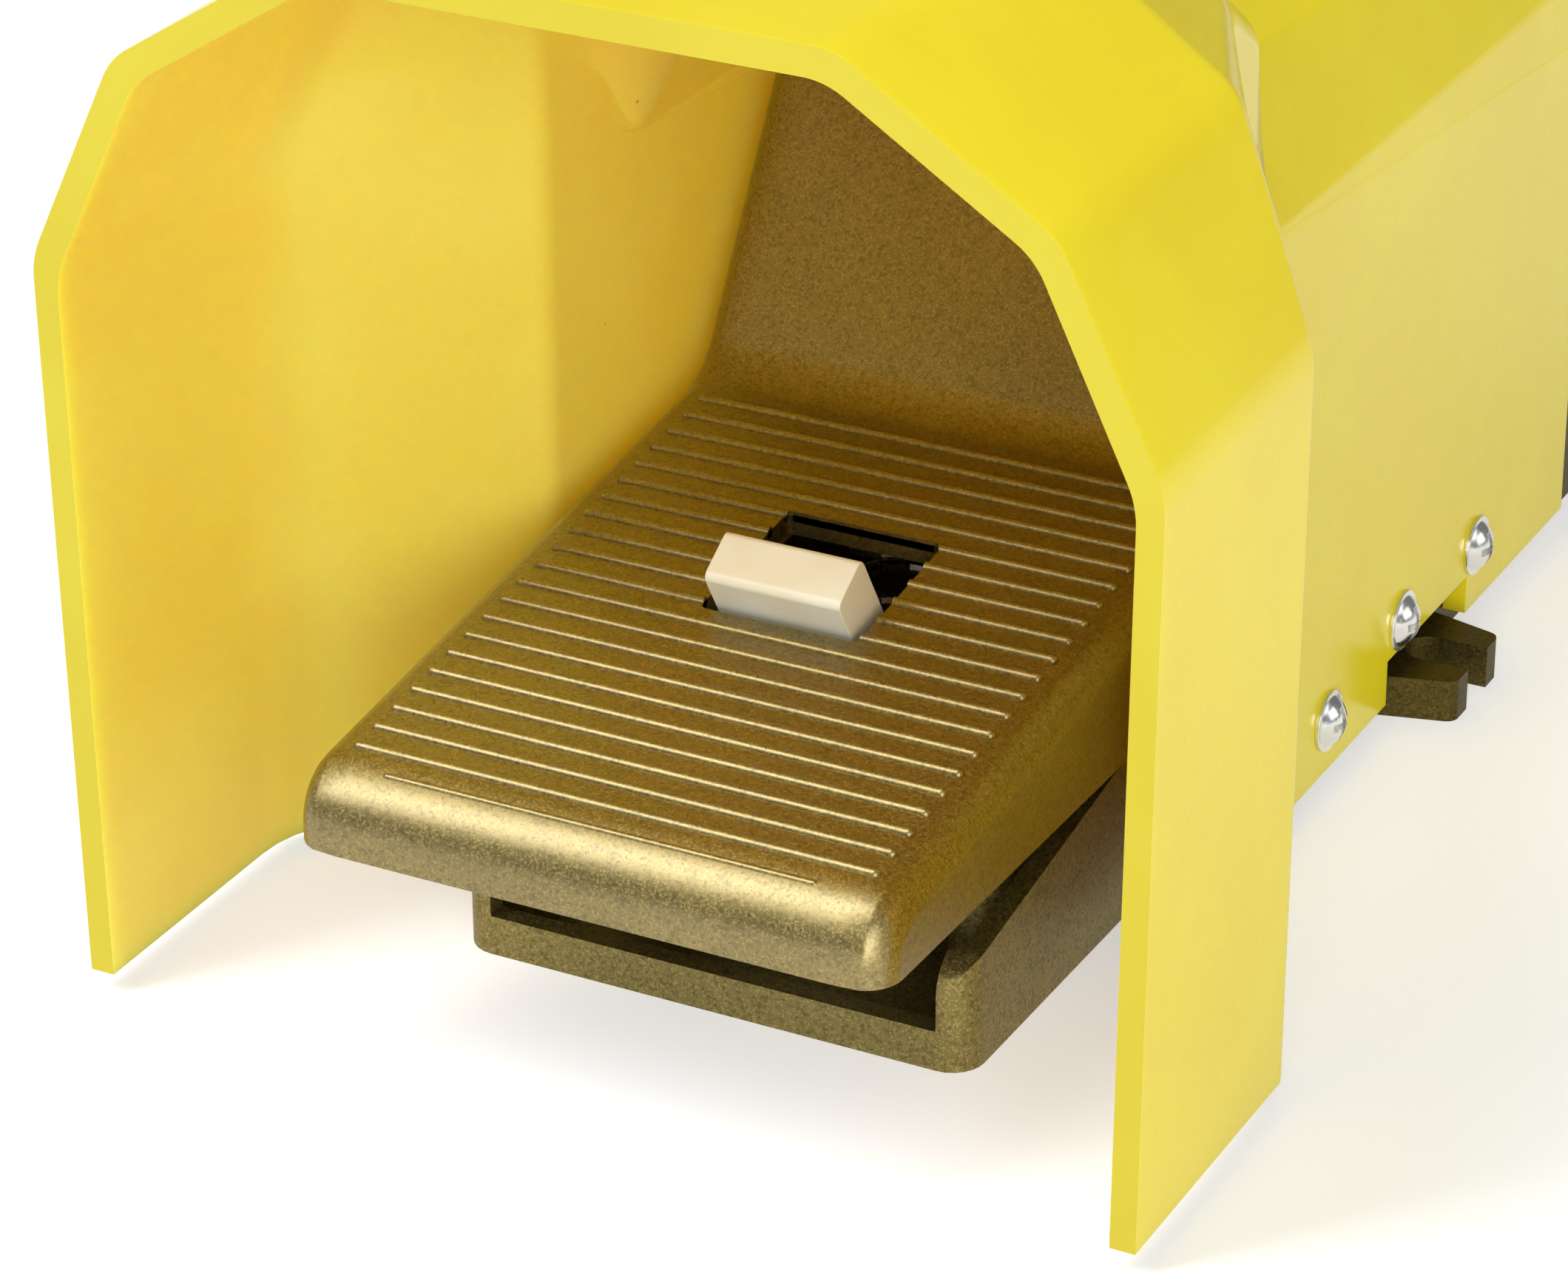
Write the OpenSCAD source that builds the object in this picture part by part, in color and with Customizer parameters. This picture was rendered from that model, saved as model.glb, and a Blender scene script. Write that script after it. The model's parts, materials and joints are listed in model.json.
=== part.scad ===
// Foot pedal valve: a ribbed cast pedal on a cast base, with a spool valve behind it,
// a lock lever through the tread, and a moulded guard around the whole.
// The mouth of the guard faces -Y and the ports are at the rear. The floor is z = 0.
// Every y below is a distance behind the mouth plane, and module placed() centres the whole.

/* [Guard] */
// Outer width of the mouth at the lower edge of its legs
guard_w = 130; // [126:1:140]
// How far each leg leans outwards over its height
guard_splay = 1; // [0:0.5:2]
// Height of the crown above the floor
guard_h = 130; // [124:1:140]
// Height of the bend at the top of each leg
leg_h = 90; // [84:1:94]
// Width across the bends between leg facet and crown facet
haunch_w = 108.6; // [100:1:114]
// Height of those bends
haunch_h = 114.6; // [108:1:118]
// Width of the flat crown
crown_w = 60; // [50:1:70]
// Wall thickness of the guard
guard_wall = 3; // [2:0.1:3.4]
// Gap between the floor and the lower edge of the guard
guard_lift = 2.6; // [1:0.1:4]
// Length of the straight collar behind the mouth
collar_len = 39; // [34:1:44]
// Length of the neck that narrows behind the collar
neck_len = 24.5; // [20:0.5:28]
// Outer width of the narrow rear half
rear_w = 83.4; // [83:0.2:88]
// Height of the side wall where the rear half begins
rear_side_h = 80; // [78:1:84]
// How far that side wall has dropped at the rear edge
rear_drop = 10; // [4:1:12]
// Overall length of the guard
guard_len = 188; // [184:1:189]
// Radius of the bends on the outside
bend_r = 4; // [3.5:0.5:6]
// Radius of the collar's bends on the inside
inner_bend_r = 6; // [4:0.5:8]
// How far the collar's rear edge leans back above the legs, per millimetre of height
collar_lean = 0.18; // [0:0.01:0.2]
// How much higher the lower edge lies behind the ears
tail_lift = 0.8; // [0:0.1:1.5]

/* [Base] */
// Width of the base at its front edge, which the pedal straddles
base_front_w = 65; // [62:0.2:65.4]
// How much wider each side is where the rear half begins
base_flare = 0.6; // [0:0.1:0.7]
// Distance of the front edge behind the mouth
base_front_y = 27.4; // [20:0.2:34]
// Length of the base
base_len = 218; // [216:1:220]
// Where the base grows to its full width
base_step_y = 92; // [90:1:94]
// Floor thickness
floor_t = 2.5; // [2:0.1:3]
// Height of the low front lip
lip_h = 5; // [3.5:0.1:6]
// Length of the low front lip between the corner posts
lip_w = 56.8; // [54:0.2:58]
// Thickness of the walls of the front half
front_wall_t = 2.6; // [2.2:0.1:3]
// Thickness of the walls of the rear half
rear_wall_t = 5; // [4:0.1:5]
// Height of the front half's walls at the front corner, before it is rounded
front_wall_h = 13.6; // [12:0.1:14]
// Radius of that corner in the side view
front_wall_r = 5; // [3:0.5:6]
// Height of the front half's walls at their rear end
mid_wall_h = 20.8; // [19:0.1:21]
// Distance over which those walls rise
wall_rise_len = 38; // [34:1:40]
// Distance of the stop webs behind the mouth
web_y = 49.6; // [49:0.1:51]
// Thickness of the stop webs
web_t = 1.4; // [1.2:0.1:2]
// Height of the rear half's walls
rear_wall_h = 18; // [17.5:0.1:18.5]
// Tip-to-tip span of the two slotted ears
ear_span = 98.5; // [96:0.5:104]
// Thickness of the ears
ear_t = 5.5; // [4:0.1:6]
// Distance of the ears' centre line behind the mouth
ear_y = 138.1; // [136:0.1:140]
// Width of the ears at the wall
ear_root_w = 21; // [19:0.5:22]
// Width of the ears at the tip
ear_tip_w = 14.6; // [13:0.2:16]
// Width of the fixing slots
ear_slot_w = 6.5; // [5.5:0.1:7]
// Distance from the ear's tip to the slot's round end
ear_slot_depth = 9.6; // [8:0.1:10]

/* [Pedal] */
// Overall width of the pedal
pedal_w = 72.8; // [72:0.1:73.2]
// How far the nose stands in front of the mouth
nose_lead = 1.5; // [0:0.1:4]
// Height of the pedal's lower edge at the nose
skirt_h = 26.7; // [25:0.1:28]
// Drop of that lower edge per millimetre of length
skirt_fall = 0.02; // [0.01:0.005:0.03]
// Height of the tread at the nose
tread_h = 35.7; // [35:0.1:37]
// Rise of the tread in degrees
tread_angle = 6.73; // [6:0.1:7]
// Distance of the foot of the riser behind the mouth
riser_y = 92; // [90:0.5:94]
// Angle of the riser above the horizontal
riser_angle = 58.6; // [57:0.2:60]
// Height of the hood at the top of the riser
hood_h = 82; // [80:0.5:82.5]
// Fall of the hood's roof per millimetre of length
hood_fall = 0.16; // [0.14:0.01:0.2]
// Distance of the hood's rear edge behind the mouth
hood_end_y = 156; // [154:0.5:158]
// Radius of the nose
nose_r = 8; // [7:0.5:8.5]
// Radius in the angle between tread and riser
riser_fillet_r = 8; // [6:0.5:12]
// Radius of the hood's upper corners
hood_r = 6; // [5:0.5:8]
// Radius of the edges along both sides
side_r = 4.5; // [3:0.25:5]
// Thickness of the side cheeks
cheek_t = 2.6; // [2.2:0.1:2.8]
// Thickness of the tread, riser and roof
tread_t = 2.5; // [2:0.1:3]
// Thickness of the front of the nose
nose_t = 4; // [3:0.1:5]
// Number of ribs across the tread
rib_count = 21; // [11:1:21]
// Distance from rib to rib along the tread
rib_pitch = 4; // [3.6:0.1:4]
// Distance of the first rib behind the mouth
rib_first_y = 6.2; // [6.2:0.1:7.5]
// Length of the ribs
rib_len = 65.2; // [50:0.2:66]
// Length of the single rib on the nose
nose_rib_len = 53; // [40:1:58]
// Radius of each rib
rib_r = 0.7; // [0.6:0.05:1]
// Height of the ribs above the tread
rib_rise = 0.5; // [0.3:0.05:0.6]
// Radius of the rib on the nose
nose_rib_r = 0.45; // [0.4:0.05:0.8]
// Width of the slot for the lock lever
slot_w = 19.9; // [19:0.1:20.4]
// Length of that slot
slot_len = 21.4; // [20:0.1:22]
// Distance of the slot's front edge behind the mouth
slot_y = 44.6; // [44.3:0.1:45]

/* [Pedal pivot and stops] */
// Distance of the pivot behind the mouth
pivot_y = 140; // [139.5:0.1:140.5]
// Height of the pivot
pivot_z = 13; // [12.5:0.1:13.2]
// Diameter of the pivot pin
pivot_d = 6; // [5:0.1:6.2]
// How far the pedal turns when pressed, in degrees
press_angle = 8; // [6:0.5:8]
// Thickness of the two lugs inside the hood
lug_t = 4.5; // [3.5:0.1:4.8]
// Distance between the lugs' inner faces
lug_gap = 52; // [50:0.2:52.4]
// Radius of the lug around the pivot
lug_r = 7; // [6.5:0.1:7.5]
// Wall thickness of the pivot bushes
bush_wall = 1.5; // [1.2:0.1:1.6]
// Mean diameter of the return spring
return_spring_d = 15; // [13:0.5:17]
// Wire diameter of the return spring
return_spring_wire = 1.8; // [1.4:0.1:2]
// Distance of the return spring behind the mouth
return_spring_y = 79; // [78:0.5:82]
// Diameter of the rubber buffers
buffer_d = 8; // [7:0.5:9]

/* [Lock lever] */
// Width of the lock lever
lever_w = 17; // [14:0.1:17.6]
// Thickness of the lock lever
lever_t = 6.8; // [6.6:0.05:6.9]
// Length of the lever above its pin
lever_len = 22.3; // [20:0.1:23]
// Radius of the lever's upper edges
lever_edge_r = 1; // [0.5:0.1:1.5]
// Lean of the lever towards the mouth, in degrees
lever_lean = 31; // [31:0.1:31.5]
// Distance of the lever's pin behind the mouth
lever_y = 57.3; // [57.3:0.1:57.6]
// Height of the lever's pin
lever_z = 28.65; // [28.3:0.05:28.7]
// Diameter of the lever's pin
lever_pin_d = 4; // [3.5:0.1:4]
// How far the lever swings, in degrees
lever_swing = 20; // [10:1:20]

/* [Valve] */
// Height of the spool's axis
spool_z = 46; // [45.5:0.1:46.5]
// Diameter of the spool's bore
spool_d = 16; // [14:0.1:16.4]
// Diameter of the rod
rod_d = 8; // [7:0.1:9]
// Width of the valve body
valve_w = 42; // [41:0.1:43]
// Height of the valve body
valve_h = 38; // [37.5:0.1:38.5]
// Distance of the valve body's front face behind the mouth
valve_y = 151; // [150.5:0.1:151.5]
// Length of the valve body
valve_len = 89; // [88.5:0.1:90]
// Thickness of the front cap
front_cap_t = 6; // [5:0.1:6.5]
// Thickness of the rear cap
rear_cap_t = 9; // [8:0.1:10]
// Thickness of the gaskets under the caps
gasket_t = 1; // [0.6:0.1:1.2]
// Drilled diameter of the ports, for G1/4 threads
port_d = 11.8; // [11:0.1:12]
// Distance from port to port on one side
port_pitch = 16; // [15:0.1:16]
// Distance of the first port behind the mouth
port_y = 196; // [196:0.1:198]
// Depth of the ports
port_depth = 12; // [10:0.1:12.5]
// Diameter of the drive pin between pedal and spool
drive_d = 5; // [4.5:0.1:5.2]
// Distance of the drive pin behind the mouth
drive_y = 122; // [121.5:0.1:122.5]

/* [Fasteners] */
// Diameter of the guard screws
guard_screw_d = 4; // [3:0.1:4]
// Diameter of the guard screws' heads
guard_head_d = 7.7; // [7:0.1:9]
// Height of the guard screws' domed heads
guard_head_h = 2.4; // [2:0.1:3.2]
// Diameter of the valve's fixing screws
valve_screw_d = 4; // [3:0.1:4]
// Diameter of the caps' screws
cap_screw_d = 3; // [2.5:0.1:3]

/* [Hidden] */

running = 0.05;   // radial clearance of a pin or rod that turns or slides
gap = 0.3;        // clearance between pieces that move past each other
touch = 0.1;      // clearance between fixed pieces that only lie close
over = 1;         // how far a cutter runs past the face that it cuts

rear_y = valve_y + valve_len + gasket_t + rear_cap_t;
mid_y = (rear_y - nose_lead) / 2;
base_end_y = base_front_y + base_len;
base_rear_w = rear_w - 2 * (guard_wall + touch);
tread_slope = tan(tread_angle);
fall_angle = atan(skirt_fall);

// Places of the guard's screws, as [distance behind the mouth, height]
guard_screw_places = [[pivot_y - 33, pivot_z - 3.3], [pivot_y - 9.6, pivot_z - 0.3], [pivot_y + 15.4, pivot_z - 0.9]];
// The notch in the guard's side walls that the ears come out of
notch_front_y = ear_y - ear_root_w / 2 - 1;
notch_rear_y = ear_y + ear_root_w / 2 + 4.6;
notch_h = ear_t + 3.1;

lug_mid_x = (lug_gap + lug_t) / 2;
lug_out_x = lug_gap / 2 + lug_t;
wall_in_x = base_rear_w / 2 - rear_wall_t;
front_wall_in_x = base_front_w / 2 - front_wall_t;
drive_z = spool_z;
valve_base_z = spool_z - valve_h / 2;
cap_y = valve_y - gasket_t - front_cap_t;
screw_inset = 5;
valve_screw_pitch = 18;
valve_screw_ys = [valve_y + 15, valve_y + 15 + valve_screw_pitch];
// How deep the screws reach into the piece that they hold on to
valve_screw_bite = 9;
cap_screw_bite = 7;
bite_clearance = 1;

function tread_z(y) = tread_h + (y + nose_lead) * tread_slope;
function tread_under_z(y) = tread_z(y) - tread_t / cos(tread_angle);
// Where a point of the pedal lies when the pedal is fully pressed
function pressed(p) = let (r = p - [pivot_y, pivot_z], a = press_angle)
    [pivot_y + r.x * cos(a) - r.y * sin(a), pivot_z + r.y * cos(a) + r.x * sin(a)];

// ---- Outlines ----

function unit(v) = v / norm(v);
function cross2(a, b) = a.x * b.y - a.y * b.x;

// Where two straight edges meet, each given by a point and a direction
function meet(p, u, q, v) = p + u * cross2(q - p, v) / cross2(u, v);

// Edges that turn by less than this run straight on, so their lines never meet
straight = 0.00001;

// A closed outline whose edge i moves inwards by distances[i]; the outline runs clockwise
function inset(points, distances) = let (n = len(points))
    [for (i = [0:n - 1])
        let (a = points[(i + n - 1) % n], p = points[i], b = points[(i + 1) % n],
            u = unit(p - a), v = unit(b - p),
            du = distances[(i + n - 1) % n], dv = distances[i])
        abs(cross2(u, v)) < straight ? p + [u.y, -u.x] * du
            : meet(p + [u.y, -u.x] * du, u, p + [v.y, -v.x] * dv, v)];

// One corner at p between its neighbours a and b, rounded to radius r with n steps
function corner(a, p, b, r, n) = r <= 0 ? [for (i = [0:n]) p] :
    let (u = unit(a - p), v = unit(b - p), half = acos(u * v) / 2,
        c = p + unit(u + v) * r / sin(half),
        s = p + u * r / tan(half) - c, e = p + v * r / tan(half) - c,
        a0 = atan2(s.y, s.x), turn = (atan2(e.y, e.x) - a0 + 540) % 360 - 180)
    [for (i = [0:n]) c + r * [cos(a0 + turn * i / n), sin(a0 + turn * i / n)]];

// A closed outline with every corner rounded to its own radius
function rounded(points, radii, n = 4) = let (m = len(points))
    [for (i = [0:m - 1]) each radii[i] <= 0 ? [points[i]] :
        corner(points[(i + m - 1) % m], points[i], points[(i + 1) % m], radii[i], n)];

// A solid through a list of closed outlines that all have the same number of points
module loft(outlines) {
    m = len(outlines[0]);
    last = len(outlines) - 1;
    polyhedron(
        points = [for (o = outlines) each o],
        faces = concat(
            [[for (j = [0:m - 1]) j]],
            [for (i = [0:last - 1], j = [0:m - 1]) let (k = (j + 1) % m)
                each [[i * m + j, (i + 1) * m + j, (i + 1) * m + k], [i * m + j, (i + 1) * m + k, i * m + k]]],
            [[for (j = [m - 1:-1:0]) last * m + j]]));
}

// A flat outline of [y, z] points, made a slab between x = x0 and x = x1
module slab(x0, x1) {
    translate([x0, 0, 0]) rotate([90, 0, 90]) linear_extrude(x1 - x0) children();
}

// The same shape on both sides
module both_sides() {
    children();
    mirror([1, 0, 0]) children();
}

// A cylinder along X between two x values
module x_rod(x0, x1, y, z, r, steps = 48) {
    translate([x0, y, z]) rotate([0, 90, 0]) cylinder(h = x1 - x0, r = r, $fn = steps);
}

// A cylinder along Y between two y values
module y_rod(y0, y1, x, z, r, steps = 48) {
    translate([x, y0, z]) rotate([-90, 0, 0]) cylinder(h = y1 - y0, r = r, $fn = steps);
}

// A wire of the given radius swept along a path, with its rings kept upright to the path
module wire(path, r, sides = 8) {
    n = len(path);
    rings = [for (i = [0:n - 1])
        let (t = unit(path[min(i + 1, n - 1)] - path[max(i - 1, 0)]),
            side = unit(cross(t, abs(t.z) > 0.9 ? [1, 0, 0] : [0, 0, 1])), up = cross(side, t))
        [for (j = [0:sides - 1]) path[i] + r * (side * cos(360 * j / sides) + up * sin(360 * j / sides))]];
    loft(rings);
}

// A helical path about the Z axis
function helix(r, h, turns, steps = 12) =
    [for (i = [0:turns * steps]) let (a = 360 * i / steps) [r * cos(a), r * sin(a), h * i / (turns * steps)]];

module placed() {
    translate([0, -mid_y, 0]) children();
}

// ---- Guard ----

// Right half of the guard's outline, from the lower edge up to the crown
function guard_half(low_x, side, upper, haunch, crown) = [[low_x, guard_lift], side, upper, haunch, crown];

// The whole outline, clockwise seen from the mouth, moved inwards by d and rounded; above the legs it leans back
function guard_outline(half, y, d, lean) = let (
        n = len(half),
        points = concat([for (i = [0:n - 1]) [-half[i].x, half[i].y]], [for (i = [n - 1:-1:0]) half[i]]),
        distances = [for (i = [0:2 * n - 1]) i == 2 * n - 1 ? (d > 0 ? -over : 0) : d],
        r = d == 0 ? bend_r : y < neck_y - 2 * d ? inner_bend_r : max(bend_r - d, 0.5),
        radii = [for (i = [0:2 * n - 1]) let (k = min(i, 2 * n - 1 - i)) k == 0 || k == 2 ? 0 : r])
    [for (p = rounded(inset(points, distances), radii, 4)) [p.x, y + lean * max(0, p.y - leg_h), p.y]];

// Stations along the guard, as [distance behind the mouth, half outline, shift of the inner bend]
rear_half_x = rear_w / 2;
haunch = [haunch_w / 2, haunch_h];
crown = [crown_w / 2, guard_h];
function between(a, b, t) = a + (b - a) * t;
function collar_half(lean) = let (side = [guard_w / 2 + lean, leg_h])
    guard_half(guard_w / 2, side, between(side, haunch, 0.3), haunch, crown);
neck_y = collar_len + neck_len;
step_y = neck_y + 17;
hood_half = guard_half(rear_half_x, [rear_half_x, rear_side_h + 4],
    [rear_half_x + 0.1, rear_side_h + 14], [rear_half_x + 3.3, haunch_h + 1.4], [crown_w / 2 - 4, guard_h - 2]);
step_half = guard_half(rear_half_x, [rear_half_x, rear_side_h + 1],
    [rear_half_x - 0.1, rear_side_h + 9], [rear_half_x - 0.6, haunch_h - 8], [crown_w / 2 - 7, guard_h - 13]);
shoulder_half = guard_half(rear_half_x, [rear_half_x, rear_side_h],
    [rear_half_x - 0.3, rear_side_h + 0.8], [rear_half_x - 8.4, rear_side_h + 18.5], [crown_w / 2 - 8, rear_side_h + 28]);
tail_half = guard_half(rear_half_x, [rear_half_x, rear_side_h - rear_drop],
    [rear_half_x - 0.8, rear_side_h - 1], [rear_half_x - 7, rear_side_h + 13], [crown_w / 2 - 10, rear_side_h + 20]);
stations = [[0, collar_half(guard_splay)], [collar_len, collar_half(guard_splay / 2)], [neck_y, hood_half],
    [step_y, step_half], [step_y + 5, shoulder_half], [guard_len, tail_half]];

module guard_solid(d) {
    last = len(stations) - 1;
    shift = d * tan(22.5);
    loft([for (i = [0:last])
        let (end = i == 0 ? -1 : i == last ? 1 : 0, bend = i == 1 || i == 2 ? -shift : 0)
        guard_outline(stations[i][1], stations[i][0] + bend + (d > 0 ? end * over : 0), d, i == 1 ? collar_lean : 0)]);
}

module guard() color("gold") placed() difference() {
    guard_solid(0);
    guard_solid(guard_wall);
    for (side = [-1, 1])
        translate([side * rear_half_x - 3 * guard_wall / 2, notch_front_y, 0])
            cube([3 * guard_wall, notch_rear_y - notch_front_y, notch_h]);
    translate([-rear_w, notch_rear_y - over, -over]) cube([2 * rear_w, guard_len, guard_lift + tail_lift + over]);
    for (p = guard_screw_places)
        x_rod(-rear_half_x - over, rear_half_x + over, p.x, p.y, guard_screw_d / 2 + 0.25);
}

// One domed screw: its head lies on the plane z = 0 and its shank points down
module domed_screw(shank_d, shank_len, head_d, head_h) {
    rim_h = head_h * 0.22;
    dome_h = head_h - rim_h;
    dome_r0 = head_d * 0.42;
    dome_r = (dome_r0 * dome_r0 + dome_h * dome_h) / (2 * dome_h);
    recess_w = head_d * 0.13;
    difference() {
        union() {
            cylinder(h = rim_h, r = head_d / 2, $fn = 48);
            intersection() {
                translate([0, 0, rim_h + dome_h - dome_r]) sphere(r = dome_r, $fn = 48);
                cylinder(h = head_h + over, r = dome_r0, $fn = 48);
            }
            translate([0, 0, -shank_len]) cylinder(h = shank_len + rim_h, r = shank_d / 2, $fn = 32);
        }
        for (a = [0, 90])
            rotate([0, 0, a]) translate([-head_d * 0.26, -recess_w / 2, head_h * 0.5])
                cube([head_d * 0.52, recess_w, head_h]);
    }
}

module guard_screws() color("silver") placed() both_sides()
    for (p = guard_screw_places)
        translate([rear_half_x, p.x, p.y]) rotate([0, 90, 0])
            domed_screw(guard_screw_d - 0.8, guard_wall + touch + rear_wall_t - 0.6, guard_head_d, guard_head_h);

// ---- Base ----

// Plan outline of the base, clockwise, moved inwards by d in front and by e in the rear half
function base_plan(d, e) = let (
        f = base_front_w / 2, g = f + base_flare, r = base_rear_w / 2, step_end_y = base_step_y + r - g,
        points = [[f, base_front_y], [-f, base_front_y], [-g, base_step_y], [-r, step_end_y],
            [-r, base_end_y], [r, base_end_y], [r, step_end_y], [g, base_step_y]])
    rounded(inset(points, [d, d, d, e, e, e, d, d]), [for (i = [0:7]) i < 2 ? 4 - d / 2 : i < 4 || i > 5 ? 0 : 5 - e / 2], 6);

// Side view of the walls: low behind the lip, rising in a curve, low again past the step
module wall_profile() {
    low_y = base_step_y + 1;
    low_end_y = low_y + 21;
    points = [[base_front_y, -over], [base_front_y, front_wall_h], [base_front_y + wall_rise_len, mid_wall_h],
        [base_step_y - 6, mid_wall_h], [low_y, rear_wall_h - 2.5], [low_end_y, rear_wall_h - 2.5],
        [low_end_y + 4, rear_wall_h], [base_end_y + over, rear_wall_h], [base_end_y + over, -over]];
    polygon(rounded(points, [0, front_wall_r, 20, 5, 3, 3, 3, 0, 0], 6));
}

module ear() {
    tip_x = ear_span / 2;
    root_x = wall_in_x + 1;
    outline = [[root_x, ear_y - ear_root_w / 2 - 0.6], [tip_x, ear_y - ear_tip_w / 2],
        [tip_x, ear_y + ear_tip_w / 2], [root_x, ear_y + ear_root_w / 2 + 0.6]];
    difference() {
        linear_extrude(ear_t) polygon(rounded(outline, [0, 1.6, 1.6, 0], 5));
        translate([tip_x - ear_slot_depth + ear_slot_w / 2, ear_y, -over])
            cylinder(h = ear_t + 2 * over, r = ear_slot_w / 2, $fn = 48);
        translate([tip_x - ear_slot_depth + ear_slot_w / 2, ear_y - ear_slot_w / 2, -over])
            cube([ear_slot_depth, ear_slot_w, ear_t + 2 * over]);
    }
}

press_post_r = buffer_d / 2 + 0.6;
press_post_x = front_wall_in_x - press_post_r - gap;
web_x = press_post_x + buffer_d / 2 + gap;
web_h = front_wall_h + (web_y - base_front_y) * (mid_wall_h - front_wall_h) / wall_rise_len - 0.5;
press_post_y = 48;
stop_rib_z = tread_under_z(press_post_y) - 5.8;
press_buffer_top = pressed([press_post_y, stop_rib_z]).y - gap;
buffer_t = 3.4;
rest_buffer_y = pivot_y + 12;
rest_toe_z = pivot_z - 3.5;
buffer_stem_d = 3;
buffer_stem_len = 2.2;

strike_y = 50;
strike_t = 2;
strike_w = 14;
strike_foot_len = 11;
strike_screw_y = strike_y - 6;
strike_screw_x = 4;
strike_screw_d = 2.5;

module base() color([0.34, 0.29, 0.17]) placed() difference() {
    union() {
        linear_extrude(floor_t) polygon(base_plan(0, 0));
        intersection() {
            linear_extrude(mid_wall_h + over) difference() {
                polygon(base_plan(0, 0));
                polygon(base_plan(front_wall_t, rear_wall_t));
            }
            slab(-base_rear_w, base_rear_w) wall_profile();
        }
        both_sides() ear();
        // Plinth that the valve body stands on
        translate([-valve_w / 2, valve_y, 0]) cube([valve_w, valve_len, valve_base_z]);
        // Spigot inside the return spring
        translate([0, return_spring_y, 0])
            cylinder(h = floor_t + 5, r = (return_spring_d - return_spring_wire) / 2 - 0.8, $fn = 32);
        // Posts under the press buffers, and the webs that tie them to the walls
        both_sides() translate([press_post_x, press_post_y, 0])
            cylinder(h = press_buffer_top - buffer_t, r = press_post_r, $fn = 32);
        both_sides() translate([web_x, web_y - web_t / 2, 0]) cube([base_front_w / 2 - 1 - web_x, web_t, web_h]);
    }
    // The lip is lower than the walls
    translate([-lip_w / 2, base_front_y - over, lip_h])
        cube([lip_w, front_wall_t + 2 * over, mid_wall_h]);
    // Hollow of the plinth
    plinth_wall = 2 * screw_inset;
    translate([-valve_w / 2 + plinth_wall, valve_y + screw_inset, floor_t])
        cube([valve_w - 2 * plinth_wall, valve_len - 2 * screw_inset, valve_base_z]);
    x_rod(-base_rear_w / 2 - over, base_rear_w / 2 + over, pivot_y, pivot_z, pivot_d / 2 + running);
    both_sides() for (p = guard_screw_places)
        x_rod(wall_in_x - over, base_rear_w / 2 + over, p.x, p.y, guard_screw_d / 2 - 0.35);
    for (x = [-1, 1], y = valve_screw_ys)
        translate([x * (valve_w / 2 - screw_inset), y, valve_base_z - valve_screw_bite - bite_clearance])
            cylinder(h = valve_screw_bite + bite_clearance + over, r = valve_screw_d / 2 - 0.35, $fn = 32);
    for (x = [-1, 1])
        translate([x * strike_screw_x, strike_screw_y, -over])
            cylinder(h = floor_t + 2 * over, r = strike_screw_d / 2 + 0.05, $fn = 32);
    both_sides() {
        translate([press_post_x, press_post_y, press_buffer_top - buffer_t - buffer_stem_len - 0.2])
            cylinder(h = 10, r = buffer_stem_d / 2 + 0.05, $fn = 32);
        translate([lug_mid_x, rest_buffer_y, -over])
            cylinder(h = floor_t + 2 * over, r = buffer_stem_d / 2 + 0.05, $fn = 32);
    }
}

module buffer(top_z, seat_z, stem) {
    translate([0, 0, seat_z]) cylinder(h = top_z - seat_z, r = buffer_d / 2, $fn = 32);
    translate([0, 0, seat_z - stem]) cylinder(h = stem + 0.5, r = buffer_stem_d / 2, $fn = 32);
}

module press_buffers() color("dimgray") placed() both_sides()
    translate([press_post_x, press_post_y, 0]) buffer(press_buffer_top, press_buffer_top - buffer_t, buffer_stem_len);

module rest_buffers() color("dimgray") placed() both_sides()
    translate([lug_mid_x, rest_buffer_y, 0]) buffer(rest_toe_z - gap, floor_t, floor_t - 0.3);

module pivot_pin() color("silver") placed()
    x_rod(-base_rear_w / 2, base_rear_w / 2, pivot_y, pivot_z, pivot_d / 2);

// ---- Pedal ----

nose = [-nose_lead, tread_h];
riser_foot = [riser_y, tread_z(riser_y)];
riser_dir = [cos(riser_angle), sin(riser_angle)];
hood_front = riser_foot + riser_dir * (hood_h - riser_foot.y) / riser_dir.y;
hood_rear = [hood_end_y, hood_h - hood_fall * (hood_end_y - hood_front.x)];
skirt_rear = [hood_end_y, skirt_h - skirt_fall * (hood_end_y + nose_lead)];
pedal_points = [[-nose_lead, skirt_h], nose, riser_foot, hood_front, hood_rear, skirt_rear];

// Side view of the pedal, with its visible edges moved inwards by d
function pedal_outline(d) =
    rounded(inset(pedal_points, [d, d, d, d, d, 0]),
        [0, nose_r - d, riser_fillet_r + d, hood_r - d, hood_r - d, 0], 8);

// The closed outer form: the side view, drawn in towards both cheeks along a quarter circle
module pedal_form() {
    steps = 5;
    angles = [for (i = [0:steps]) 90 * i / steps];
    right = [for (a = angles) [pedal_w / 2 - side_r * (1 - cos(a)), side_r * (1 - sin(a))]];
    left = [for (i = [steps:-1:0]) [-right[i].x, right[i].y]];
    loft([for (s = concat(right, left)) [for (p = pedal_outline(s[1])) [s[0], p.x, p.y]]]);
}

// The hollow under the tread and inside the hood, open below and behind
module pedal_hollow() {
    slab(-pedal_w / 2 + cheek_t, pedal_w / 2 - cheek_t)
        polygon(rounded(inset(pedal_points, [nose_t, tread_t, tread_t + 0.5, tread_t + 0.5, -2 * over, -2 * over]),
            [0, nose_r - nose_t + 1, riser_fillet_r + tread_t, hood_r - tread_t, 0, 0], 6));
}

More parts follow.
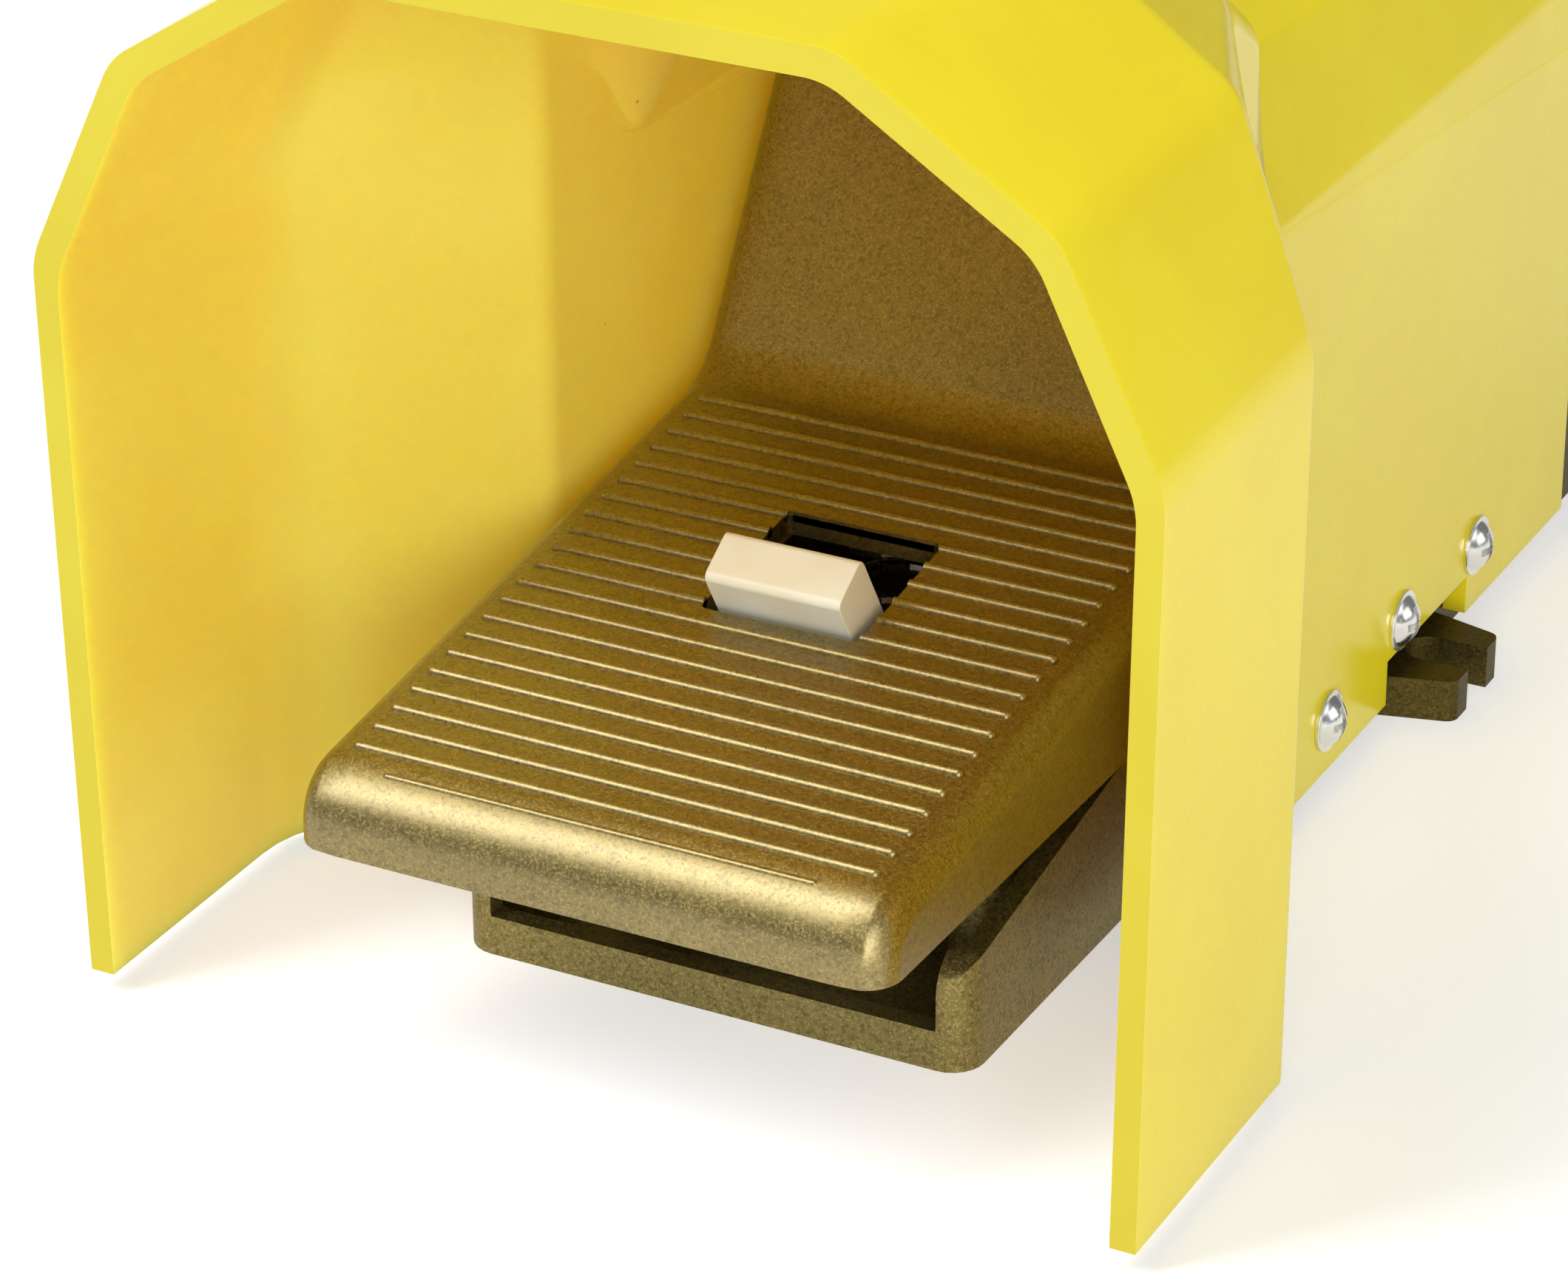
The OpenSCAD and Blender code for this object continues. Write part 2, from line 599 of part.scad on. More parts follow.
// A rib along X with tapered ends
module rib(length, r) {
    taper = 1.6;
    x_rod(-length / 2 + taper, length / 2 - taper, 0, 0, r, 16);
    both_sides() translate([length / 2 - taper, 0, 0]) rotate([0, 90, 0])
        cylinder(h = taper, r1 = r, r2 = r * 0.45, $fn = 16);
}

module ribs() {
    step_y = rib_pitch * cos(tread_angle);
    for (i = [0:rib_count - 1]) {
        y = rib_first_y + i * step_y;
        translate([0, y, tread_z(y) - rib_r + rib_rise]) rib(rib_len, rib_r);
    }
    // One more rib lies on the curve of the nose
    nose_centre = [-nose_lead + nose_r, tread_h - nose_r + nose_r * tread_slope];
    nose_angle = 56 + tread_angle;
    nose_reach = nose_r - nose_rib_r / 2;
    translate([0, nose_centre.x - nose_reach * cos(nose_angle), nose_centre.y + nose_reach * sin(nose_angle)])
        rib(nose_rib_len, nose_rib_r);
}

// One lug: the plate that carries the pivot, the drive pin and the rest toe
module pedal_lug() {
    drive_boss_r = drive_d / 2 + 3.5;
    slab(lug_gap / 2, lug_out_x) {
        polygon([[pivot_y - lug_r * 0.9, pivot_z - lug_r * 0.4], [drive_y - drive_boss_r, drive_z],
            [drive_y - drive_boss_r, hood_h - tread_t], [hood_end_y - 8, hood_rear.y - tread_t],
            [pivot_y + lug_r, drive_z], [pivot_y + lug_r, pivot_z]]);
        translate([pivot_y, pivot_z]) circle(r = lug_r, $fn = 64);
        translate([drive_y, drive_z]) circle(r = drive_boss_r, $fn = 48);
        translate([pivot_y, rest_toe_z]) square([rest_buffer_y + buffer_d / 2 - pivot_y, 5]);
    }
}

lever_lug_t = 3;
lever_lug_in_x = lever_w / 2 + 0.8;
lever_lug_r = lever_pin_d / 2 + 2.4;
spring_pad_z = tread_under_z(return_spring_y - return_spring_d / 2 - 2) - 0.6;
spring_pad_r = return_spring_d / 2 + 2;

module pedal() color([0.55, 0.43, 0.12]) placed() difference() {
    union() {
        difference() {
            pedal_form();
            pedal_hollow();
        }
        ribs();
        both_sides() pedal_lug();
        // Lugs that hang under the tread for the lock lever's pin
        both_sides() slab(lever_lug_in_x, lever_lug_in_x + lever_lug_t) {
            translate([lever_y, lever_z]) circle(r = lever_lug_r, $fn = 48);
            polygon([[lever_y - lever_lug_r, lever_z], [lever_y - lever_lug_r, tread_under_z(lever_y - lever_lug_r) + 1],
                [lever_y + lever_lug_r, tread_under_z(lever_y + lever_lug_r) + 1], [lever_y + lever_lug_r, lever_z]]);
        }
        // Flat pad above the return spring
        translate([0, return_spring_y, spring_pad_z])
            cylinder(h = tread_under_z(return_spring_y) - spring_pad_z + 1, r = spring_pad_r, $fn = 48);
        // Ribs that meet the press buffers
        both_sides() translate([press_post_x - buffer_d / 2, press_post_y - buffer_d / 2, stop_rib_z])
            cube([buffer_d, buffer_d, tread_under_z(press_post_y) - stop_rib_z + 1]);
    }
    translate([-slot_w / 2, slot_y, tread_under_z(slot_y) - 4])
        cube([slot_w, slot_len, 20]);
    both_sides() {
        x_rod(lug_gap / 2 - over, lug_out_x + over, pivot_y, pivot_z, pivot_d / 2 + running + bush_wall + 0.02);
        x_rod(lug_gap / 2 - over, lug_out_x + over, drive_y, drive_z, drive_d / 2 + 0.02);
        x_rod(lever_lug_in_x - over, lever_lug_in_x + lever_lug_t + over, lever_y, lever_z, lever_pin_d / 2 + 0.02);
    }
}

// Flanged bushes in the pivot's lugs, which also keep the pedal central in the base
module pivot_bushes() color("ivory") placed() both_sides() difference() {
    union() {
        x_rod(lug_gap / 2, lug_out_x + touch, pivot_y, pivot_z, pivot_d / 2 + running + bush_wall);
        x_rod(lug_out_x, wall_in_x - gap, pivot_y, pivot_z, pivot_d / 2 + running + bush_wall + 1.5);
    }
    x_rod(lug_gap / 2 - over, wall_in_x + over, pivot_y, pivot_z, pivot_d / 2 + running);
}

module return_spring() color("silver") placed()
    translate([0, return_spring_y, floor_t + return_spring_wire / 2 + 0.1])
        wire(helix(return_spring_d / 2, spring_pad_z - floor_t - return_spring_wire - 0.4, 6), return_spring_wire / 2);

// ---- Lock lever ----

leg_t = 4;
leg_w = 10;
leg_end = -9.5;
toe_reach = -5.5;
toe_t = 2;
coil_gap = 6.4;
coil_r = 2.9;
coil_wire = 0.9;

module lever_frame() {
    translate([0, lever_y, lever_z]) rotate([lever_lean, 0, 0]) children();
}

module lock_lever() color("ivory") placed() lever_frame() difference() {
    union() {
        slab(-lever_w / 2, lever_w / 2)
            polygon(rounded([[-lever_t / 2, -4.5], [-lever_t / 2, lever_len], [lever_t / 2, lever_len],
                [lever_t / 2, -4.5]], [0, lever_edge_r, lever_edge_r, 0], 4));
        translate([-leg_w / 2, -leg_t / 2, leg_end]) cube([leg_w, leg_t, -leg_end]);
        translate([-leg_w / 2, toe_reach, leg_end]) cube([leg_w, leg_t / 2 - toe_reach, toe_t]);
    }
    x_rod(-lever_w / 2 - over, lever_w / 2 + over, 0, 0, lever_pin_d / 2 + running);
    // Notch that the torsion spring sits in
    translate([-coil_gap / 2, -lever_t / 2 - over, -4.5 - over]) cube([coil_gap, lever_t + 2 * over, 10]);
}

module lock_pin() color("silver") placed()
    x_rod(-lever_lug_in_x - lever_lug_t, lever_lug_in_x + lever_lug_t, lever_y, lever_z, lever_pin_d / 2);

// Torsion spring about the lever's pin, with one leg behind the lever and one under the tread
module lock_spring() color("silver") placed() translate([0, lever_y, lever_z]) rotate([0, 90, 0]) {
    turns = 4;
    length = coil_gap - coil_wire - 0.8;
    path = [for (p = helix(coil_r, length, turns)) p - [0, 0, length / 2]];
    tail = path[len(path) - 1];
    wire(concat([path[0] + [0, -7, 0]], path, [tail + [0, 7, 0]]), coil_wire / 2);
}

// Steel strike that the lever's toe hooks under when the pedal is held down
module lock_strike() color("silver") placed() {
    toe_path = pressed([lever_y, lever_z]);
    lip_z = toe_path.y - 7.6;
    lip_end_y = lever_y - 1.7;
    difference() {
        slab(-strike_w / 2, strike_w / 2) {
            translate([strike_y - strike_foot_len, floor_t]) square([strike_foot_len + strike_t, strike_t]);
            translate([strike_y, floor_t]) square([strike_t, lip_z + strike_t - floor_t]);
            translate([strike_y, lip_z]) square([lip_end_y - strike_y, strike_t]);
        }
        for (x = [-1, 1])
            translate([x * strike_screw_x, strike_screw_y, 0])
                cylinder(h = floor_t + strike_t + over, r = strike_screw_d / 2 + 0.15, $fn = 32);
    }
}

module strike_screws() color("silver") placed()
    for (x = [-1, 1]) translate([x * strike_screw_x, strike_screw_y, floor_t + strike_t])
        domed_screw(strike_screw_d, floor_t + strike_t - 0.4, strike_screw_d * 2, 1.6);

// ---- Valve ----

cap_screw_places = [for (x = [-1, 1], z = [-1, 1]) [x * (valve_w / 2 - screw_inset), spool_z + z * (valve_h / 2 - screw_inset)]];
right_ports = [for (i = [0:2]) port_y + i * port_pitch];
left_ports = [for (i = [0:1]) port_y + (i + 0.5) * port_pitch];
port_chamfer = 0.9;

module port(side, y) {
    x_rod(side > 0 ? valve_w / 2 - port_depth : -valve_w / 2 - over,
        side > 0 ? valve_w / 2 + over : -valve_w / 2 + port_depth, y, spool_z, port_d / 2);
    x_rod(side > 0 ? 0 : -valve_w / 2 + over, side > 0 ? valve_w / 2 - over : 0, y, spool_z, port_d / 3);
    translate([side * (valve_w / 2 - port_chamfer), y, spool_z]) rotate([0, side * 90, 0])
        cylinder(h = port_chamfer + 0.01, r1 = port_d / 2, r2 = port_d / 2 + port_chamfer, $fn = 48);
}

module valve_body() color("silver") placed() difference() {
    translate([-valve_w / 2, valve_y, valve_base_z]) cube([valve_w, valve_len, valve_h]);
    y_rod(valve_y - over, valve_y + valve_len + over, 0, spool_z, spool_d / 2);
    for (y = right_ports) port(1, y);
    for (y = left_ports) port(-1, y);
    for (x = [-1, 1], y = valve_screw_ys) translate([x * (valve_w / 2 - screw_inset), y, valve_base_z - over]) {
        cylinder(h = valve_h + 2 * over, r = valve_screw_d / 2 + 0.2, $fn = 32);
        translate([0, 0, valve_h + over - valve_screw_d]) cylinder(h = valve_screw_d + over, r = valve_screw_d, $fn = 32);
    }
    for (p = cap_screw_places) {
        y_rod(valve_y - over, valve_y + cap_screw_bite + bite_clearance, p.x, p.y, cap_screw_d / 2 - 0.2, 32);
        y_rod(valve_y + valve_len - cap_screw_bite - bite_clearance, valve_y + valve_len + over, p.x, p.y, cap_screw_d / 2 - 0.2, 32);
    }
}

// A socket screw along -Z with its head's under side at z = 0
module socket_screw(d, length) {
    difference() {
        union() {
            cylinder(h = d, r = d * 0.85, $fn = 32);
            translate([0, 0, -length]) cylinder(h = length + d / 2, r = d / 2 - 0.4, $fn = 32);
        }
        translate([0, 0, d * 0.4]) cylinder(h = d, r = d * 0.48, $fn = 6);
    }
}

module valve_screws() color("silver") placed()
    for (x = [-1, 1], y = valve_screw_ys)
        translate([x * (valve_w / 2 - screw_inset), y, valve_base_z + valve_h - valve_screw_d])
            socket_screw(valve_screw_d, valve_h - valve_screw_d + valve_screw_bite);

// Axial layout of the spool, all derived from the ports
land_w = 6;
land_r = spool_d / 2 - 0.1;
spool_front_y = right_ports[0] - port_pitch - land_w / 2;
spool_rear_y = valve_y + valve_len - gap;
land_ys = [for (i = [0:5]) port_y + (i - 0.5) * port_pitch / 2 - port_pitch / 4];
seal_t = 2;
seal_groove_r = land_r - 1.7;
eye_w = 8;
eye_slot_r = drive_d / 2 + gap;
eye_wall = 2.2;
drive_pressed = pressed([drive_y, drive_z]);
eye_low_z = drive_pressed.y - gap;
eye_high_z = drive_z + gap;

module spool() color("lightgray") placed() difference() {
    union() {
        // Rod and its eye for the drive pin
        y_rod(drive_y + eye_slot_r, spool_front_y + 1, 0, spool_z, rod_d / 2 - running);
        slab(-eye_w / 2, eye_w / 2)
            translate([drive_y - eye_slot_r - eye_wall, eye_low_z - eye_slot_r - eye_wall])
                square([2 * (eye_slot_r + eye_wall), eye_high_z - eye_low_z + 2 * (eye_slot_r + eye_wall)]);
        y_rod(spool_front_y, spool_rear_y, 0, spool_z, land_r * 0.62);
        y_rod(spool_front_y, spool_front_y + land_w, 0, spool_z, land_r);
        for (y = land_ys) y_rod(y - land_w / 2, y + land_w / 2, 0, spool_z, land_r);
    }
    for (z = [eye_low_z, eye_high_z])
        x_rod(-eye_w, eye_w, drive_y, z, eye_slot_r);
    translate([-eye_w, drive_y - eye_slot_r, eye_low_z]) cube([2 * eye_w, 2 * eye_slot_r, eye_high_z - eye_low_z]);
    for (y = land_ys)
        translate([0, y - seal_t / 2 - 0.05, spool_z]) rotate([-90, 0, 0]) difference() {
            cylinder(h = seal_t + 0.1, r = spool_d, $fn = 48);
            translate([0, 0, -over]) cylinder(h = seal_t + 2 * over, r = seal_groove_r, $fn = 48);
        }
}

module spool_seals() color("dimgray") placed()
    for (y = land_ys) translate([0, y - seal_t / 2, spool_z]) rotate([-90, 0, 0]) difference() {
        cylinder(h = seal_t, r = spool_d / 2 - running, $fn = 48);
        translate([0, 0, -over]) cylinder(h = seal_t + 2 * over, r = seal_groove_r + 0.02, $fn = 48);
    }

spool_wire = 1.2;

module spool_spring() color("silver") placed()
    translate([0, valve_y - gasket_t + spool_wire / 2 + 0.1, spool_z]) rotate([-90, 0, 0])
        wire(helix((rod_d + spool_d) / 4, spool_front_y - valve_y + gasket_t - spool_wire - 0.3, 6), spool_wire / 2);

module cap_block(y, thickness) {
    translate([-valve_w / 2, y, valve_base_z]) cube([valve_w, thickness, valve_h]);
}

wiper_t = 3;
wiper_r = rod_d / 2 + 2.5;

module front_cap() color("gray") placed() difference() {
    cap_block(cap_y, front_cap_t);
    y_rod(cap_y - over, cap_y + front_cap_t + over, 0, spool_z, rod_d / 2);
    y_rod(cap_y - over, cap_y + wiper_t, 0, spool_z, wiper_r);
    for (p = cap_screw_places) {
        y_rod(cap_y - over, cap_y + front_cap_t + over, p.x, p.y, cap_screw_d / 2 + 0.2, 32);
        y_rod(cap_y - over, cap_y + cap_screw_d, p.x, p.y, cap_screw_d * 0.85 + 0.3, 32);
    }
}

module rod_wiper() color("dimgray") placed() difference() {
    y_rod(cap_y + 0.4, cap_y + wiper_t, 0, spool_z, wiper_r - 0.02);
    y_rod(cap_y - over, cap_y + wiper_t + over, 0, spool_z, rod_d / 2);
}

module rear_cap() color("gray") placed() difference() {
    cap_block(rear_y - rear_cap_t, rear_cap_t);
    for (p = cap_screw_places) {
        y_rod(rear_y - rear_cap_t - over, rear_y + over, p.x, p.y, cap_screw_d / 2 + 0.2, 32);
        y_rod(rear_y - cap_screw_d - 0.3, rear_y + over, p.x, p.y, cap_screw_d * 0.85 + 0.3, 32);
    }
}

module cap_gaskets() color("dimgray") placed() for (y = [valve_y - gasket_t, valve_y + valve_len])
    difference() {
        cap_block(y, gasket_t);
        y_rod(y - over, y + gasket_t + over, 0, spool_z, spool_d / 2);
        for (p = cap_screw_places)
            y_rod(y - over, y + gasket_t + over, p.x, p.y, cap_screw_d / 2 + 0.2, 32);
    }

module cap_screws() color("silver") placed() for (p = cap_screw_places) {
    translate([p.x, cap_y + cap_screw_d, p.y]) rotate([90, 0, 0])
        socket_screw(cap_screw_d, front_cap_t - cap_screw_d + gasket_t + cap_screw_bite);
    translate([p.x, rear_y - cap_screw_d - 0.3, p.y]) rotate([-90, 0, 0])
        socket_screw(cap_screw_d, rear_cap_t - cap_screw_d - 0.3 + gasket_t + cap_screw_bite);
}

clip_t = 0.8;
drive_end_x = lug_out_x + clip_t + 1.2;

// Pin that carries the pedal's motion to the spool, with a groove for a clip at each end
module drive_pin() color("silver") placed() difference() {
    x_rod(-drive_end_x, drive_end_x, drive_y, drive_z, drive_d / 2);
    both_sides() translate([lug_out_x + touch, drive_y, drive_z]) rotate([0, 90, 0]) difference() {
        cylinder(h = clip_t + 0.1, r = drive_d, $fn = 48);
        translate([0, 0, -over]) cylinder(h = clip_t + 2 * over, r = drive_d / 2 - 0.5, $fn = 48);
    }
}

module drive_clips() color("dimgray") placed() both_sides()
    translate([lug_out_x + touch + 0.05, drive_y, drive_z]) rotate([0, 90, 0]) difference() {
        cylinder(h = clip_t, r = drive_d / 2 + 1.6, $fn = 48);
        translate([0, 0, -over]) cylinder(h = clip_t + 2 * over, r = drive_d / 2 - 0.48, $fn = 48);
        translate([0, -1.6, -over]) cube([drive_d * 2, 3.2, clip_t + 2 * over]);
    }

guard();
guard_screws();
base();
pivot_pin();
pedal();
pivot_bushes();
return_spring();
press_buffers();
rest_buffers();
lock_lever();
lock_pin();
lock_spring();
lock_strike();
strike_screws();
drive_pin();
drive_clips();
valve_body();
valve_screws();
spool();
spool_seals();
spool_spring();
front_cap();
rod_wiper();
rear_cap();
cap_gaskets();
cap_screws();
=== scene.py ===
"""Foot pedal valve: finishes, rounded castings and mouldings, and a small stage."""
import json
import math
import bmesh
import bpy
from bpy.props import FloatProperty, FloatVectorProperty, IntProperty, PointerProperty
from mathutils import Matrix, Vector


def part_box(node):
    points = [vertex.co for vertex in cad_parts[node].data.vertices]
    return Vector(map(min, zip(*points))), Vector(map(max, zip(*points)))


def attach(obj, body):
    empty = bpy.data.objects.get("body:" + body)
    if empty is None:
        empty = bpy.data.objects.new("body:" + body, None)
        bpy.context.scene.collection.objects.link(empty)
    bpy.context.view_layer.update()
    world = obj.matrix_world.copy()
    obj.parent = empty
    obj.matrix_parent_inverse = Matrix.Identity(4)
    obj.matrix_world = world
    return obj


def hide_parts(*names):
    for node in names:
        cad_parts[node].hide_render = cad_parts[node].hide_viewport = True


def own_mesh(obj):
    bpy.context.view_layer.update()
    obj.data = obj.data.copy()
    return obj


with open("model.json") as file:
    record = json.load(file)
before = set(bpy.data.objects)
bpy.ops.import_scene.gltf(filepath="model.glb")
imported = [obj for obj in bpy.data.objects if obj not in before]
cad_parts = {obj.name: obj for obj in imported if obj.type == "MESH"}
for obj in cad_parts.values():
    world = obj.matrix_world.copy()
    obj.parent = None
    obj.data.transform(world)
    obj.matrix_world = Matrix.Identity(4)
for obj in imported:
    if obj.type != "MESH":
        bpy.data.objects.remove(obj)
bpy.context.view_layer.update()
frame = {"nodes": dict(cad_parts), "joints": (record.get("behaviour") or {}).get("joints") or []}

bl_info = {
    "name": "Foot Pedal Valve",
    "version": (1, 0, 0),
    "blender": (4, 5, 0),
    "location": "View3D > Sidebar > Foot Pedal",
    "description": "Dresses a guarded foot pedal valve and sets it on a pale stage",
    "category": "Object",
}

MM = 0.001
BASE_BODY, PEDAL_BODY, LEVER_BODY = "base_body", "pedal_body", "lever_body"
# The guard's mouth. Distances behind the mouth count from here towards the rear
MOUTH_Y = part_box("guard")[0].y
# Rise of the tread from its nose to the riser, and of the riser above it
TREAD_RISE, RISER_RISE = math.radians(6.73), math.radians(58.6)
# Slack between a spring and the room that is left for it
SPRING_SLACK = 0.3 * MM


# ---------------------------------------------------------------- settings

def length(name, value, text):
    return FloatProperty(name=name, description=text, default=value * MM, unit="LENGTH", precision=5)


def number(name, value, text, unit="NONE"):
    return FloatProperty(name=name, description=text, default=value, unit=unit)


def colour(name, value, text):
    return FloatVectorProperty(name=name, description=text, default=value, size=3, min=0, max=1,
                               subtype="COLOR_GAMMA")


class GuardSettings(bpy.types.PropertyGroup):
    """Sizes of the moulded guard"""
    width: length("Width", 130, "Outer width of the mouth at its lower edge")
    splay: length("Splay", 1, "How far each leg leans outwards")
    height: length("Height", 130, "Height of the crown above the floor")
    leg_height: length("Leg height", 90, "Height of the bend at the top of each leg")
    haunch_width: length("Haunch width", 108.6, "Width across the bends below the crown")
    haunch_height: length("Haunch height", 114.6, "Height of those bends")
    crown_width: length("Crown width", 60, "Width of the flat crown")
    wall: length("Wall", 3, "Wall thickness")
    lift: length("Lift", 2.6, "Gap between the floor and the lower edge")
    collar: length("Collar", 39, "Length of the collar behind the mouth")
    neck: length("Neck", 24.5, "Length of the neck")
    step_start: length("Step start", 17, "Distance from the neck to the step in the roof")
    step_length: length("Step length", 5, "Length of that step")
    rear_width: length("Rear width", 83.4, "Outer width of the rear half")
    side_height: length("Side height", 80, "Height of the side wall where the rear half begins")
    side_drop: length("Side drop", 10, "How far the side wall drops towards the rear")
    length: length("Length", 188, "Overall length of the guard")
    bend: length("Bend", 4, "Radius of the bends")
    inner_bend: length("Inner bend", 6, "Radius of the collar's bends on the inside")
    lean: number("Lean", 0.18, "How far the collar's rear edge leans back, per unit of height")
    notch_front: length("Notch front", 126.6, "Distance of each ear notch's front edge behind the mouth")
    notch_rear: length("Notch rear", 153.2, "Distance of each ear notch's rear edge behind the mouth")
    notch_height: length("Notch height", 8.6, "Height of each ear notch's upper edge above the floor")
    tail_lift: length("Tail lift", 0.8, "How much higher the lower edge lies behind the ears")
    rim: length("Rim", 0.55, "Rounding of the rims")
    lip: length("Lip", 0.4, "How much thicker the mouth's rim is above the legs")
    lip_length: length("Lip length", 6, "Distance over which that thickness runs out")
    colour: colour("Colour", (0.98, 0.89, 0.16), "Colour of the plastic")
    # The rims' colour is darker than the plastic's, as painted shade against the strong front light
    rim_painted_shade_colour: colour("Rim colour", (0.80, 0.74, 0.20), "Colour of the duller cut edges")
    # The inside's colour is paler and more orange than the plastic's, as painted glow of light through the
    # wall and painted reflection
    inside_painted_glow_colour: colour("Inside colour", (0.99, 0.835, 0.36), "Colour of the plastic on the inside")


class PedalSettings(bpy.types.PropertyGroup):
    """Sizes of the cast pedal"""
    width: length("Width", 72.8, "Overall width")
    nose_lead: length("Nose lead", 1.5, "How far the nose stands in front of the mouth")
    skirt: length("Skirt", 26.7, "Height of the lower edge at the nose")
    tread: length("Tread", 35.7, "Height of the tread at the nose")
    riser: length("Riser", 92, "Distance of the riser's foot behind the mouth")
    hood: length("Hood", 82, "Height of the hood at the top of the riser")
    hood_end: length("Hood end", 156, "Distance of the hood's rear edge behind the mouth")
    nose_radius: length("Nose radius", 8, "Radius of the nose")
    fillet: length("Fillet", 8, "Radius in the angle between tread and riser")
    hood_radius: length("Hood radius", 6, "Radius of the hood's corners")
    side_radius: length("Side radius", 4.5, "Radius of the edges along the sides")
    first_rib: length("First rib", 6.2, "Distance of the first rib behind the mouth")
    rib_pitch: length("Rib pitch", 4, "Distance from rib to rib")
    rib_radius: length("Rib radius", 0.7, "Radius of the ribs")
    rib_rise: length("Rib rise", 0.5, "Height of the ribs")
    rib_length: length("Rib length", 64.4, "Length of the ribs")
    nose_rib_radius: length("Nose rib radius", 0.45, "Radius of the rib on the nose")
    nose_rib_length: length("Nose rib length", 53, "Length of the rib on the nose")
    cheek: length("Cheek", 2.6, "Thickness of the side cheeks")
    nose_wall: length("Nose wall", 4, "Thickness of the nose")
    tread_wall: length("Tread wall", 2.5, "Thickness of the tread")
    hood_wall: length("Hood wall", 3, "Thickness of the riser and the hood")
    slot_width: length("Slot width", 19.9, "Width of the slot for the lock lever")
    slot_front: length("Slot front", 44.6, "Distance of the slot's front edge behind the mouth")
    slot_length: length("Slot length", 21.4, "Length of that slot")
    slot_radius: length("Slot radius", 0.9, "Radius of that slot's corners")
    rim: length("Rim", 0.35, "Rounding of the skirts' and the hood's rims")
    ribs: IntProperty(name="Ribs", description="Number of ribs on the tread", default=21, min=1)
    colour: colour("Colour", (0.535, 0.475, 0.28), "Colour of the metallic paint")


class ValveSettings(bpy.types.PropertyGroup):
    """Sizes of the valve's threaded ports"""
    port_y: length("Port distance", 196, "Distance of the first port behind the mouth")
    port_pitch: length("Port pitch", 16, "Distance from port to port on one side")
    port_radius: length("Port radius", 5.9, "Radius of the drilled ports")
    thread_pitch: length("Thread pitch", 1.337, "Pitch of the threads in the ports")
    thread_depth: length("Thread depth", 0.6, "Height of those threads")
    thread_length: length("Thread length", 9.5, "Length of those threads")


class StageSettings(bpy.types.PropertyGroup):
    """Camera, lamps and floor"""
    azimuth: number("Azimuth", math.radians(27.912), "Camera's angle round the object", "ROTATION")
    elevation: number("Elevation", math.radians(27.460), "Camera's angle above the horizon", "ROTATION")
    roll: number("Roll", math.radians(-0.484), "Camera's roll", "ROTATION")
    distance: number("Distance", 0.61845, "Camera's distance from its target", "LENGTH")
    target: FloatVectorProperty(name="Target", default=(0.00198, 0.03788, 0.03654), size=3, unit="LENGTH",
                                description="Point that the camera looks at, from the mouth's middle")
    lens: number("Lens", 127.604, "Focal length in millimetres")
    shift_x: number("Shift X", 0.01173, "Sideways shift of the lens")
    shift_y: number("Shift Y", 0.03046, "Upward shift of the lens")
    key_power: number("Key power", 12.0, "Power of the key lamp", "POWER")
    front_power: number("Front power", 15.5, "Power of the broad lamp in front", "POWER")
    side_power: number("Side power", 2.6, "Power of the lamp on each side", "POWER")
    fill: number("Fill", 0.2, "Strength of the even light all round")


# ---------------------------------------------------------------- shader expressions

def linear(rgb):
    """Screen colour to linear light"""
    return tuple(c / 12.92 if c <= 0.04045 else ((c + 0.055) / 1.055) ** 2.4 for c in rgb)


def shade(rgb, *factors):
    """A colour times one factor, or times a factor of its own for each channel"""
    return tuple(min(1.0, c * f) for c, f in zip(rgb, factors * 3 if len(factors) == 1 else factors))


class Value:
    """A shader socket in a Python expression"""

    def __init__(self, shader, socket):
        self.shader, self.socket = shader, socket

    def math(self, operation, *others, swapped=False):
        terms = (others[0], self) if swapped else (self, *others)
        return self.shader.node("ShaderNodeMath", {"operation": operation}, dict(enumerate(terms)))

    def __add__(self, other):
        return self.math("ADD", other)

    def __sub__(self, other):
        return self.math("SUBTRACT", other)

    def __rsub__(self, other):
        return self.math("SUBTRACT", other, swapped=True)

    def __mul__(self, other):
        return self.math("MULTIPLY", other)

    __radd__ = __add__
    __rmul__ = __mul__

    def step(self, low, high, to_low=0.0, to_high=1.0):
        """Smooth ramp of this value from low..high to to_low..to_high"""
        return self.shader.node("ShaderNodeMapRange", {"interpolation_type": "SMOOTHSTEP"},
                                {"Value": self, "From Min": low, "From Max": high,
                                 "To Min": to_low, "To Max": to_high})


